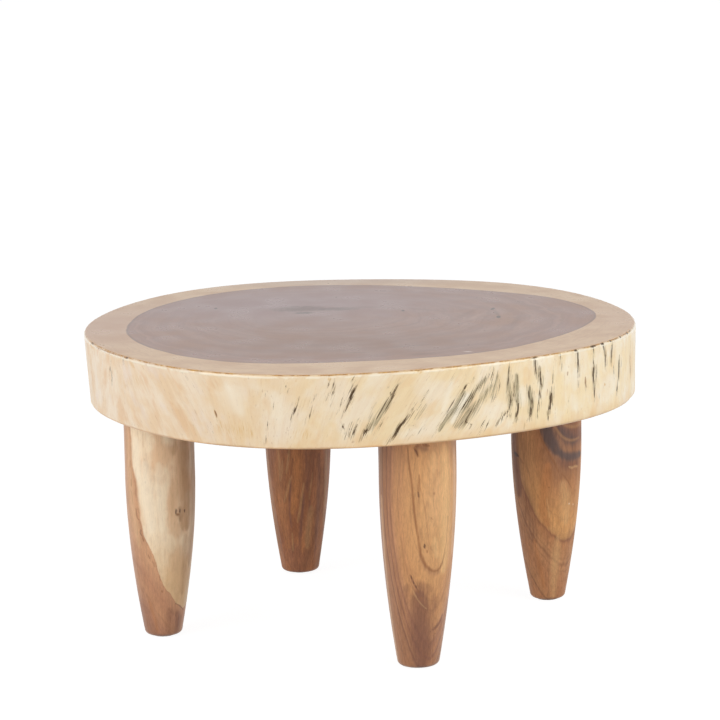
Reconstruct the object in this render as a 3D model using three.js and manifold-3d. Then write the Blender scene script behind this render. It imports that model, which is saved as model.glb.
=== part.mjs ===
import * as THREE from 'three';
import { mergeVertices } from 'three/addons/utils/BufferGeometryUtils.js';
import Module from 'manifold-3d';

// Low table: one slice of a tree trunk on four turned legs.
// Millimetres, +Z up. The floor is z = 0, and the origin lies on it under the middle of the slice.
// The legs stand on the diagonals, and the front faces -Y.

// The whole table
const TABLE_HEIGHT = 400;
const SLAB_RADIUS = 362.8;
const SLAB_THICKNESS = 93.7;

// The trunk slice: its edges, and how far its side draws in towards the underside
const TOP_EDGE_ROUND = 3.5;
const UNDERSIDE_ROUND = 5.5;
const UNDERSIDE_ROUND_LEAST = 2;
const SIDE_DRAW_IN = 9.1;

// The legs: a straight top stretch, then a curve in to the foot, which stands a little to one side
const LEG_INSET = 96.7;
const LEG_TOP_RADIUS = 47.6;
const LEG_STRAIGHT = 78;
const LEG_FOOT_RADIUS = 24.5;
const LEG_FOOT_ROUND = 5.5;
const LEG_FOOT_DRIFT = 2.2;
const LEG_FOOT_DRIFT_DEGREES = 208.6;
const LEG_CURVE_POWER = 1.8;

// Felt glides under the feet
const GLIDE_THICKNESS = 2;
const GLIDE_RADIUS = 15;

// Hanger bolts: a wood screw below, a machine screw above
const BOLT_RADIUS = 5;
const BOLT_LENGTH_IN_LEG = 45;
const BOLT_LENGTH_IN_SLAB = 22;
const BOLT_TIP_LENGTH = 9;
const BOLT_TIP_RADIUS = 1.2;
const BOLT_CHAMFER = 1;

// Threaded inserts in the underside, turned in with a hexagon key
const INSERT_LENGTH = 25;
const INSERT_WALL = 3;
const INSERT_FLANGE_REACH = 2.5;
const INSERT_FLANGE_THICKNESS = 2;
const INSERT_HEX_REACH = 0.5;
const INSERT_HEX_DEPTH = 6;

// Fits
const RADIAL_CLEARANCE = 0.3;
const END_CLEARANCE = 0.3;
const CUT_OVERRUN = 5;

// Lobes of the trunk's outline: how often each repeats round the rim, its height as a share of
// the radius, and the direction of a crest
const OUTLINE_LOBE_SHARES = [
  { repeats: 2, share: 0.0025, degrees: 8.6 },
  { repeats: 3, share: 0.0203, degrees: 31.2 },
  { repeats: 4, share: 0.0098, degrees: -2.0 },
  { repeats: 5, share: 0.0106, degrees: 1.8 },
  { repeats: 6, share: 0.0033, degrees: 29.7 },
];

// How the draw-in and the rounding of the underside change round the rim
const DRAW_IN_LOBE_SHARES = [
  { repeats: 1, share: 0.99, degrees: 125 },
  { repeats: 2, share: 0.57, degrees: 96 },
];
const UNDERSIDE_ROUND_LOBE_SHARES = [
  { repeats: 1, share: 0.98, degrees: 79 },
];

// The legs are made by hand, so each has its own place and its own shares of the sizes above
const LEG_SHARES = {
  front_left: {
    degrees: 224.0, reachShare: 1.014, topShare: 0.963, straightShare: 1.17, footShare: 0.976, driftShare: 1.09,
  },
  front_right: {
    degrees: 315.1, reachShare: 0.985, topShare: 1.03, straightShare: 0.78, footShare: 1.057, driftShare: 1.73,
  },
  back_left: {
    degrees: 136.9, reachShare: 1.009, topShare: 0.995, straightShare: 0.97, footShare: 1.053, driftShare: 0.77,
  },
  back_right: {
    degrees: 44.1, reachShare: 0.994, topShare: 0.994, straightShare: 1.05, footShare: 0.935, driftShare: 0.5,
  },
};

// Facets
const SLAB_SEGMENTS = 96;
const TOP_ROUND_STEPS = 3;
const SIDE_STEPS = 2;
const UNDERSIDE_ROUND_STEPS = 5;
const LEG_SEGMENTS = 36;
const LEG_CURVE_STEPS = 11;
const FOOT_ROUND_STEPS = 4;
const HARDWARE_SEGMENTS = 24;
const HEXAGON_SIDES = 6;

// Sizes that follow from those above
const SLAB_UNDERSIDE_Z = TABLE_HEIGHT - SLAB_THICKNESS;
const LEG_LENGTH = SLAB_UNDERSIDE_Z - GLIDE_THICKNESS;
const LEG_CIRCLE_RADIUS = SLAB_RADIUS - LEG_INSET;
const BOLT_HOLE_RADIUS = BOLT_RADIUS + RADIAL_CLEARANCE;
const INSERT_RADIUS = BOLT_HOLE_RADIUS + INSERT_WALL;
const INSERT_TOP = END_CLEARANCE + INSERT_LENGTH;

const wasm = await Module();
wasm.setup();

// Wood and steel

const sapwoodAndHeartwood = new THREE.MeshStandardMaterial({
  name: 'trunk_slice', color: 0xdcbf9c, roughness: 0.42, metalness: 0,
});
const legWood = new THREE.MeshStandardMaterial({
  name: 'leg_wood', color: 0xaa7d59, roughness: 0.5, metalness: 0,
});
const zincSteel = new THREE.MeshStandardMaterial({
  name: 'zinc_steel', color: 0xb9bcc0, roughness: 0.35, metalness: 1,
});
const brownFelt = new THREE.MeshStandardMaterial({
  name: 'brown_felt', color: 0x6e5644, roughness: 1, metalness: 0,
});

// Geometry helpers

function radians(degrees) {
  return THREE.MathUtils.degToRad(degrees);
}

// A closed body turned from a profile of [radius, height] pairs, upright on z
function turned(profile, segments) {
  const points = profile.map(([radius, height]) => new THREE.Vector2(radius, height));
  const geometry = new THREE.LatheGeometry(points, segments);
  geometry.rotateX(Math.PI / 2);
  return geometry;
}

// Merges shared vertices and drops the empty triangles that a lathe leaves on its axis
function welded(geometry) {
  geometry.deleteAttribute('normal');
  geometry.deleteAttribute('uv');
  const merged = mergeVertices(geometry);
  const kept = [];
  const index = merged.index.array;
  for (let i = 0; i < index.length; i += 3) {
    const [a, b, c] = [index[i], index[i + 1], index[i + 2]];
    if (a !== b && b !== c && c !== a) {
      kept.push(a, b, c);
    }
  }
  merged.setIndex(kept);
  return merged;
}

function toSolid(geometry) {
  const merged = welded(geometry);
  return new wasm.Manifold(new wasm.Mesh({
    numProp: 3,
    vertProperties: new Float32Array(merged.attributes.position.array),
    triVerts: new Uint32Array(merged.index.array),
  }));
}

function toGeometry(solid) {
  const mesh = solid.getMesh();
  const geometry = new THREE.BufferGeometry();
  geometry.setAttribute('position', new THREE.BufferAttribute(new Float32Array(mesh.vertProperties), 3));
  geometry.setIndex(new THREE.BufferAttribute(new Uint32Array(mesh.triVerts), 1));
  return geometry;
}

// The first solid with every other one cut out of it
function cut(geometry, tools) {
  let solid = toSolid(geometry);
  for (const tool of tools) {
    solid = solid.subtract(toSolid(tool));
  }
  return toGeometry(solid);
}

function named(name, geometry, material) {
  geometry.computeVertexNormals();
  const mesh = new THREE.Mesh(geometry, material.clone());
  mesh.name = name;
  return mesh;
}

// The trunk slice

// 1 plus the lobes' heights in one direction
function swell(lobeShares, angle) {
  return lobeShares.reduce(
    (sum, lobe) => sum + lobe.share * Math.cos(lobe.repeats * (angle - radians(lobe.degrees))), 1);
}

function rimRadius(angle) {
  return SLAB_RADIUS * swell(OUTLINE_LOBE_SHARES, angle);
}

// The slice's section in one direction, as [radius, height over the underside] from top to underside
function slabSection(angle) {
  const drawIn = SIDE_DRAW_IN * Math.max(swell(DRAW_IN_LOBE_SHARES, angle), 0);
  const undersideRound = Math.max(
    UNDERSIDE_ROUND * swell(UNDERSIDE_ROUND_LOBE_SHARES, angle), UNDERSIDE_ROUND_LEAST);
  const sideTop = SLAB_THICKNESS - TOP_EDGE_ROUND;
  const section = [];
  const add = (height, inset) => {
    const lean = drawIn * (1 - height / SLAB_THICKNESS);
    section.push([rimRadius(angle) - lean - inset, height]);
  };
  for (let i = 0; i <= TOP_ROUND_STEPS; i += 1) {
    const turn = (i / TOP_ROUND_STEPS) * Math.PI / 2;
    add(sideTop + TOP_EDGE_ROUND * Math.cos(turn), TOP_EDGE_ROUND * (1 - Math.sin(turn)));
  }
  for (let i = 1; i < SIDE_STEPS; i += 1) {
    add(THREE.MathUtils.lerp(sideTop, undersideRound, i / SIDE_STEPS), 0);
  }
  for (let i = 0; i <= UNDERSIDE_ROUND_STEPS; i += 1) {
    const turn = (i / UNDERSIDE_ROUND_STEPS) * Math.PI / 2;
    add(undersideRound * (1 - Math.sin(turn)), undersideRound * (1 - Math.cos(turn)));
  }
  return section;
}

function rimAngle(i) {
  return (i / SLAB_SEGMENTS) * Math.PI * 2;
}

// Rings of the section joined all the way round, and closed by a fan on top and one underneath
function slabGeometry() {
  const positions = [];
  const index = [];
  const ringCount = slabSection(0).length;
  for (let i = 0; i < SLAB_SEGMENTS; i += 1) {
    const angle = rimAngle(i);
    for (const [radius, height] of slabSection(angle)) {
      positions.push(radius * Math.cos(angle), radius * Math.sin(angle), height);
    }
  }
  const topCentre = positions.length / 3;
  positions.push(0, 0, SLAB_THICKNESS);
  const undersideCentre = topCentre + 1;
  positions.push(0, 0, 0);
  for (let i = 0; i < SLAB_SEGMENTS; i += 1) {
    const here = i * ringCount;
    const next = ((i + 1) % SLAB_SEGMENTS) * ringCount;
    index.push(topCentre, here, next);
    for (let ring = 0; ring < ringCount - 1; ring += 1) {
      index.push(here + ring, here + ring + 1, next + ring);
      index.push(next + ring, here + ring + 1, next + ring + 1);
    }
    index.push(undersideCentre, next + ringCount - 1, here + ringCount - 1);
  }
  const geometry = new THREE.BufferGeometry();
  geometry.setAttribute('position', new THREE.Float32BufferAttribute(positions, 3));
  geometry.setIndex(index);
  return geometry;
}

// The stepped blind hole for one insert, from below the underside up
function insertHole(leg) {
  const flangeHoleRadius = INSERT_RADIUS + INSERT_FLANGE_REACH + RADIAL_CLEARANCE;
  const flangeHoleTop = END_CLEARANCE + INSERT_FLANGE_THICKNESS + END_CLEARANCE;
  const holeRadius = INSERT_RADIUS + RADIAL_CLEARANCE;
  const holeTop = Math.max(INSERT_TOP, BOLT_LENGTH_IN_SLAB) + END_CLEARANCE;
  const hole = turned([
    [0, -CUT_OVERRUN],
    [flangeHoleRadius, -CUT_OVERRUN],
    [flangeHoleRadius, flangeHoleTop],
    [holeRadius, flangeHoleTop],
    [holeRadius, holeTop],
    [0, holeTop],
  ], HARDWARE_SEGMENTS);
  hole.translate(leg.x, leg.y, 0);
  return hole;
}

function slabTop(legs) {
  const slab = named('slab_top', cut(slabGeometry(), legs.map(insertHole)), sapwoodAndHeartwood);
  slab.position.z = SLAB_UNDERSIDE_Z;
  return slab;
}

// A leg, from its foot up, with the blind hole for its bolt in the top

function curveTop(leg) {
  return LEG_LENGTH - LEG_STRAIGHT * leg.straightShare;
}

function legRadius(leg, height) {
  const topRadius = LEG_TOP_RADIUS * leg.topShare;
  const footRadius = LEG_FOOT_RADIUS * leg.footShare;
  const way = Math.max(1 - height / curveTop(leg), 0);
  return topRadius - (topRadius - footRadius) * way ** LEG_CURVE_POWER;
}

// Moves an upright leg's rings sideways, from nothing at the bolt's tip to the whole drift at the foot
function drifted(geometry, drift) {
  const boltTip = LEG_LENGTH - BOLT_LENGTH_IN_LEG - END_CLEARANCE;
  const position = geometry.attributes.position;
  for (let i = 0; i < position.count; i += 1) {
    const share = Math.max(1 - position.getZ(i) / boltTip, 0);
    position.setX(i, position.getX(i) + drift.x * share);
    position.setY(i, position.getY(i) + drift.y * share);
  }
  return geometry;
}

function legGeometry(leg) {
  const holeDepth = BOLT_LENGTH_IN_LEG + END_CLEARANCE;
  const profile = [[0, 0]];
  for (let i = 0; i <= FOOT_ROUND_STEPS; i += 1) {
    const turn = (i / FOOT_ROUND_STEPS) * Math.PI / 2;
    const height = LEG_FOOT_ROUND * (1 - Math.cos(turn));
    const inset = LEG_FOOT_ROUND * (1 - Math.sin(turn));
    profile.push([legRadius(leg, height) - inset, height]);
  }
  for (let i = 1; i <= LEG_CURVE_STEPS; i += 1) {
    const height = THREE.MathUtils.lerp(LEG_FOOT_ROUND, curveTop(leg), i / LEG_CURVE_STEPS);
    profile.push([legRadius(leg, height), height]);
  }
  profile.push([LEG_TOP_RADIUS * leg.topShare, LEG_LENGTH]);
  profile.push([BOLT_HOLE_RADIUS, LEG_LENGTH]);
  profile.push([BOLT_HOLE_RADIUS, LEG_LENGTH - holeDepth]);
  profile.push([0, LEG_LENGTH - holeDepth]);
  return drifted(turned(profile, LEG_SEGMENTS), leg.drift);
}

function turnedLeg(leg) {
  const mesh = named(`leg_${leg.place}`, legGeometry(leg), legWood);
  mesh.position.set(leg.x, leg.y, GLIDE_THICKNESS);
  return mesh;
}

// The hardware

function hangerBolt(leg) {
  const geometry = turned([
    [0, -BOLT_LENGTH_IN_LEG],
    [BOLT_TIP_RADIUS, -BOLT_LENGTH_IN_LEG],
    [BOLT_RADIUS, BOLT_TIP_LENGTH - BOLT_LENGTH_IN_LEG],
    [BOLT_RADIUS, BOLT_LENGTH_IN_SLAB - BOLT_CHAMFER],
    [BOLT_RADIUS - BOLT_CHAMFER, BOLT_LENGTH_IN_SLAB],
    [0, BOLT_LENGTH_IN_SLAB],
  ], HARDWARE_SEGMENTS);
  const mesh = named(`hanger_bolt_${leg.place}`, geometry, zincSteel);
  mesh.position.set(leg.x, leg.y, SLAB_UNDERSIDE_Z);
  return mesh;
}

// A flanged sleeve with a round bore and a hexagon socket at its lower end
function threadedInsert(leg) {
  const flangeRadius = INSERT_RADIUS + INSERT_FLANGE_REACH;
  const body = turned([
    [0, 0],
    [flangeRadius, 0],
    [flangeRadius, INSERT_FLANGE_THICKNESS],
    [INSERT_RADIUS, INSERT_FLANGE_THICKNESS],
    [INSERT_RADIUS, INSERT_LENGTH],
    [0, INSERT_LENGTH],
  ], HARDWARE_SEGMENTS);
  const bore = turned([
    [0, -CUT_OVERRUN],
    [BOLT_HOLE_RADIUS, -CUT_OVERRUN],
    [BOLT_HOLE_RADIUS, INSERT_LENGTH + CUT_OVERRUN],
    [0, INSERT_LENGTH + CUT_OVERRUN],
  ], HARDWARE_SEGMENTS);
  const hexCornerRadius = (BOLT_HOLE_RADIUS + INSERT_HEX_REACH) / Math.cos(Math.PI / HEXAGON_SIDES);
  const socket = turned([
    [0, -CUT_OVERRUN],
    [hexCornerRadius, -CUT_OVERRUN],
    [hexCornerRadius, INSERT_HEX_DEPTH],
    [0, INSERT_HEX_DEPTH],
  ], HEXAGON_SIDES);
  const mesh = named(`threaded_insert_${leg.place}`, cut(body, [bore, socket]), zincSteel);
  mesh.position.set(leg.x, leg.y, SLAB_UNDERSIDE_Z + END_CLEARANCE);
  return mesh;
}

function feltGlide(leg) {
  const geometry = turned([
    [0, 0],
    [GLIDE_RADIUS, 0],
    [GLIDE_RADIUS, GLIDE_THICKNESS],
    [0, GLIDE_THICKNESS],
  ], HARDWARE_SEGMENTS);
  const mesh = named(`felt_glide_${leg.place}`, geometry, brownFelt);
  mesh.position.set(leg.x + leg.drift.x, leg.y + leg.drift.y, 0);
  return mesh;
}

// The whole table, moved so that the middle of the slice's outline is over the origin

function placedLegs() {
  const driftDirection = radians(LEG_FOOT_DRIFT_DEGREES);
  return Object.entries(LEG_SHARES).map(([place, leg]) => ({
    ...leg,
    place,
    x: LEG_CIRCLE_RADIUS * leg.reachShare * Math.cos(radians(leg.degrees)),
    y: LEG_CIRCLE_RADIUS * leg.reachShare * Math.sin(radians(leg.degrees)),
    drift: {
      x: LEG_FOOT_DRIFT * leg.driftShare * Math.cos(driftDirection),
      y: LEG_FOOT_DRIFT * leg.driftShare * Math.sin(driftDirection),
    },
  }));
}

function outlineCentre() {
  const outline = new THREE.Box2();
  for (let i = 0; i < SLAB_SEGMENTS; i += 1) {
    const angle = rimAngle(i);
    const radius = rimRadius(angle);
    outline.expandByPoint(new THREE.Vector2(radius * Math.cos(angle), radius * Math.sin(angle)));
  }
  return outline.getCenter(new THREE.Vector2());
}

const table = new THREE.Group();
table.name = 'low_table';
const legs = placedLegs();
table.add(slabTop(legs));
for (const leg of legs) {
  table.add(turnedLeg(leg), hangerBolt(leg), threadedInsert(leg), feltGlide(leg));
}
const centre = outlineCentre();
table.position.set(-centre.x, -centre.y, 0);

export default table;
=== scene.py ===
import math

import bpy
import numpy as np
from mathutils import Matrix, Vector
from mathutils.geometry import delaunay_2d_cdt


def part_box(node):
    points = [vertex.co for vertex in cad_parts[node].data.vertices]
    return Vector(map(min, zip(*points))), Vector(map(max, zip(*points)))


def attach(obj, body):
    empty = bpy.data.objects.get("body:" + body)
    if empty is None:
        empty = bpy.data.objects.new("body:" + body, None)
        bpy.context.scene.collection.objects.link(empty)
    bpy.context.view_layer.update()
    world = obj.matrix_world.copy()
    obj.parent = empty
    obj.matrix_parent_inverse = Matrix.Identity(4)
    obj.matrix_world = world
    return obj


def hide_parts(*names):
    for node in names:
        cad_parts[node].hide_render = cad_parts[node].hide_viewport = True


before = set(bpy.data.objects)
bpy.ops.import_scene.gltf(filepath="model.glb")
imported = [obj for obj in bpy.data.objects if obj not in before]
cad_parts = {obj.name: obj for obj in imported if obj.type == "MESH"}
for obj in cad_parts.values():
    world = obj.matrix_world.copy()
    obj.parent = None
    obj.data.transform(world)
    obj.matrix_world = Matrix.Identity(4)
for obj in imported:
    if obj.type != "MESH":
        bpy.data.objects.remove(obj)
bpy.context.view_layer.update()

# Low table: a slice of a tree trunk on four turned legs.
# Lengths here are millimetres and angles degrees, in the CAD's frame; meshes are made in metres.
MM = 0.001
BODY = "root"

# The table's own sizes, as in the CAD
TABLE_HEIGHT = 400
SLAB_RADIUS = 362.8
SLAB_THICKNESS = 93.7
TOP_EDGE_ROUND = 3.5
UNDERSIDE_ROUND = 5.5
UNDERSIDE_ROUND_LEAST = 2
SIDE_DRAW_IN = 9.1

# Lobes round the slice: how often each repeats, its share, and the direction of a crest
OUTLINE_LOBES = [(2, 0.0025, 8.6), (3, 0.0203, 31.2), (4, 0.0098, -2), (5, 0.0106, 1.8), (6, 0.0033, 29.7)]
DRAW_IN_LOBES = [(1, 0.99, 125), (2, 0.57, 96)]
UNDERSIDE_ROUND_LOBES = [(1, 0.98, 79)]
OUTLINE_STEP = 3.75

LEG_TOP_RADIUS = 47.6
LEG_STRAIGHT = 78
LEG_FOOT_RADIUS = 24.5
LEG_FOOT_ROUND = 5.5
LEG_FOOT_DRIFT = 2.2
LEG_FOOT_DRIFT_DIRECTION = 208.6
LEG_CURVE_POWER = 1.8

# Each leg's own shares of the top radius, the straight stretch, the foot radius and the drift
LEG_SHARES = {
    "front_left": (0.963, 1.17, 0.976, 1.09),
    "front_right": (1.03, 0.78, 1.057, 1.73),
    "back_left": (0.995, 0.97, 1.053, 0.77),
    "back_right": (0.994, 1.05, 0.935, 0.5),
}
GLIDE_THICKNESS = 2

BOLT_RADIUS = 5
BOLT_LENGTH_IN_LEG = 45
BOLT_LENGTH_IN_SLAB = 22
BOLT_TIP_LENGTH = 9
BOLT_TIP_RADIUS = 1.2
BOLT_CHAMFER = 1
INSERT_LENGTH = 25
INSERT_WALL = 3
INSERT_FLANGE_REACH = 2.5
INSERT_FLANGE_THICKNESS = 2
INSERT_HEX_REACH = 0.5
INSERT_HEX_DEPTH = 6
CLEARANCE = 0.3

SLAB_UNDERSIDE_Z = TABLE_HEIGHT - SLAB_THICKNESS
LEG_LENGTH = SLAB_UNDERSIDE_Z - GLIDE_THICKNESS
LEG_HOLE_FLOOR = LEG_LENGTH - BOLT_LENGTH_IN_LEG - CLEARANCE
BOLT_HOLE_RADIUS = BOLT_RADIUS + CLEARANCE
INSERT_RADIUS = BOLT_HOLE_RADIUS + INSERT_WALL

# The slice's stepped holes for the inserts: the wider mouth, the seat of the flange and the top
MOUTH_RADIUS = INSERT_RADIUS + INSERT_FLANGE_REACH + CLEARANCE
HOLE_RADIUS = INSERT_RADIUS + CLEARANCE
SEAT_Z = SLAB_UNDERSIDE_Z + 2 * CLEARANCE + INSERT_FLANGE_THICKNESS
HOLE_TOP_Z = SLAB_UNDERSIDE_Z + INSERT_LENGTH + 2 * CLEARANCE

# The camera of the photograph
CAMERA_AZIMUTH = 28.6
CAMERA_PLACE = (5.2, -4406.8, 1174.4)
CAMERA_PITCH = 10.61
CAMERA_ROLL = 1.33
CAMERA_LENS = 169.11
CAMERA_SENSOR = 36
CAMERA_FAR = 100

# How the wood's fibres lean on the slice's side: sideways run for each unit of height, by direction
FIBRE_LEAN = [
    (0, 0), (120, 0.1), (200, 0), (222, 0.1), (234, 0.2), (250, -0.6), (262, -0.6), (275, -0.2),
    (286, 0.28), (295, 0.34), (304, 0.66), (312, 0.74), (320, 0.74), (326, 0.46), (334, 0.08), (342, 0.04),
]

# Heartwood: its mean radius and lobes, and the pith, from the slice's centre
HEART_RADIUS = 303
HEART_LOBES = [
    (1, 0.029, 144.5), (2, 0.0232, 26.2), (3, 0.0388, 30.1), (4, 0.0108, -35.1),
    (5, 0.0093, -23.6), (6, 0.0047, -26.6), (7, 0.0027, 20.2),
]
PITH = (-94, 35)

# Rounds in which the distance from the pith to the rim settles
REACH_ROUNDS = 12

# The side's sapwood by direction: 0 whitish to 1 yellowish, and how much painted shade, a darker and warmer
# tint, lies on it where it faces between the lamps
SIDE_TONE = [(0, 1), (60, 0.6), (200, 0.1), (262, 0.05), (300, 0.9)]
SIDE_PAINTED_SHADE = [(200, 0.1), (235, 0), (250, 0.3), (265, 0.6), (285, 0.9), (305, 0.9), (322, 0.6), (345, 0.1)]

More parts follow.
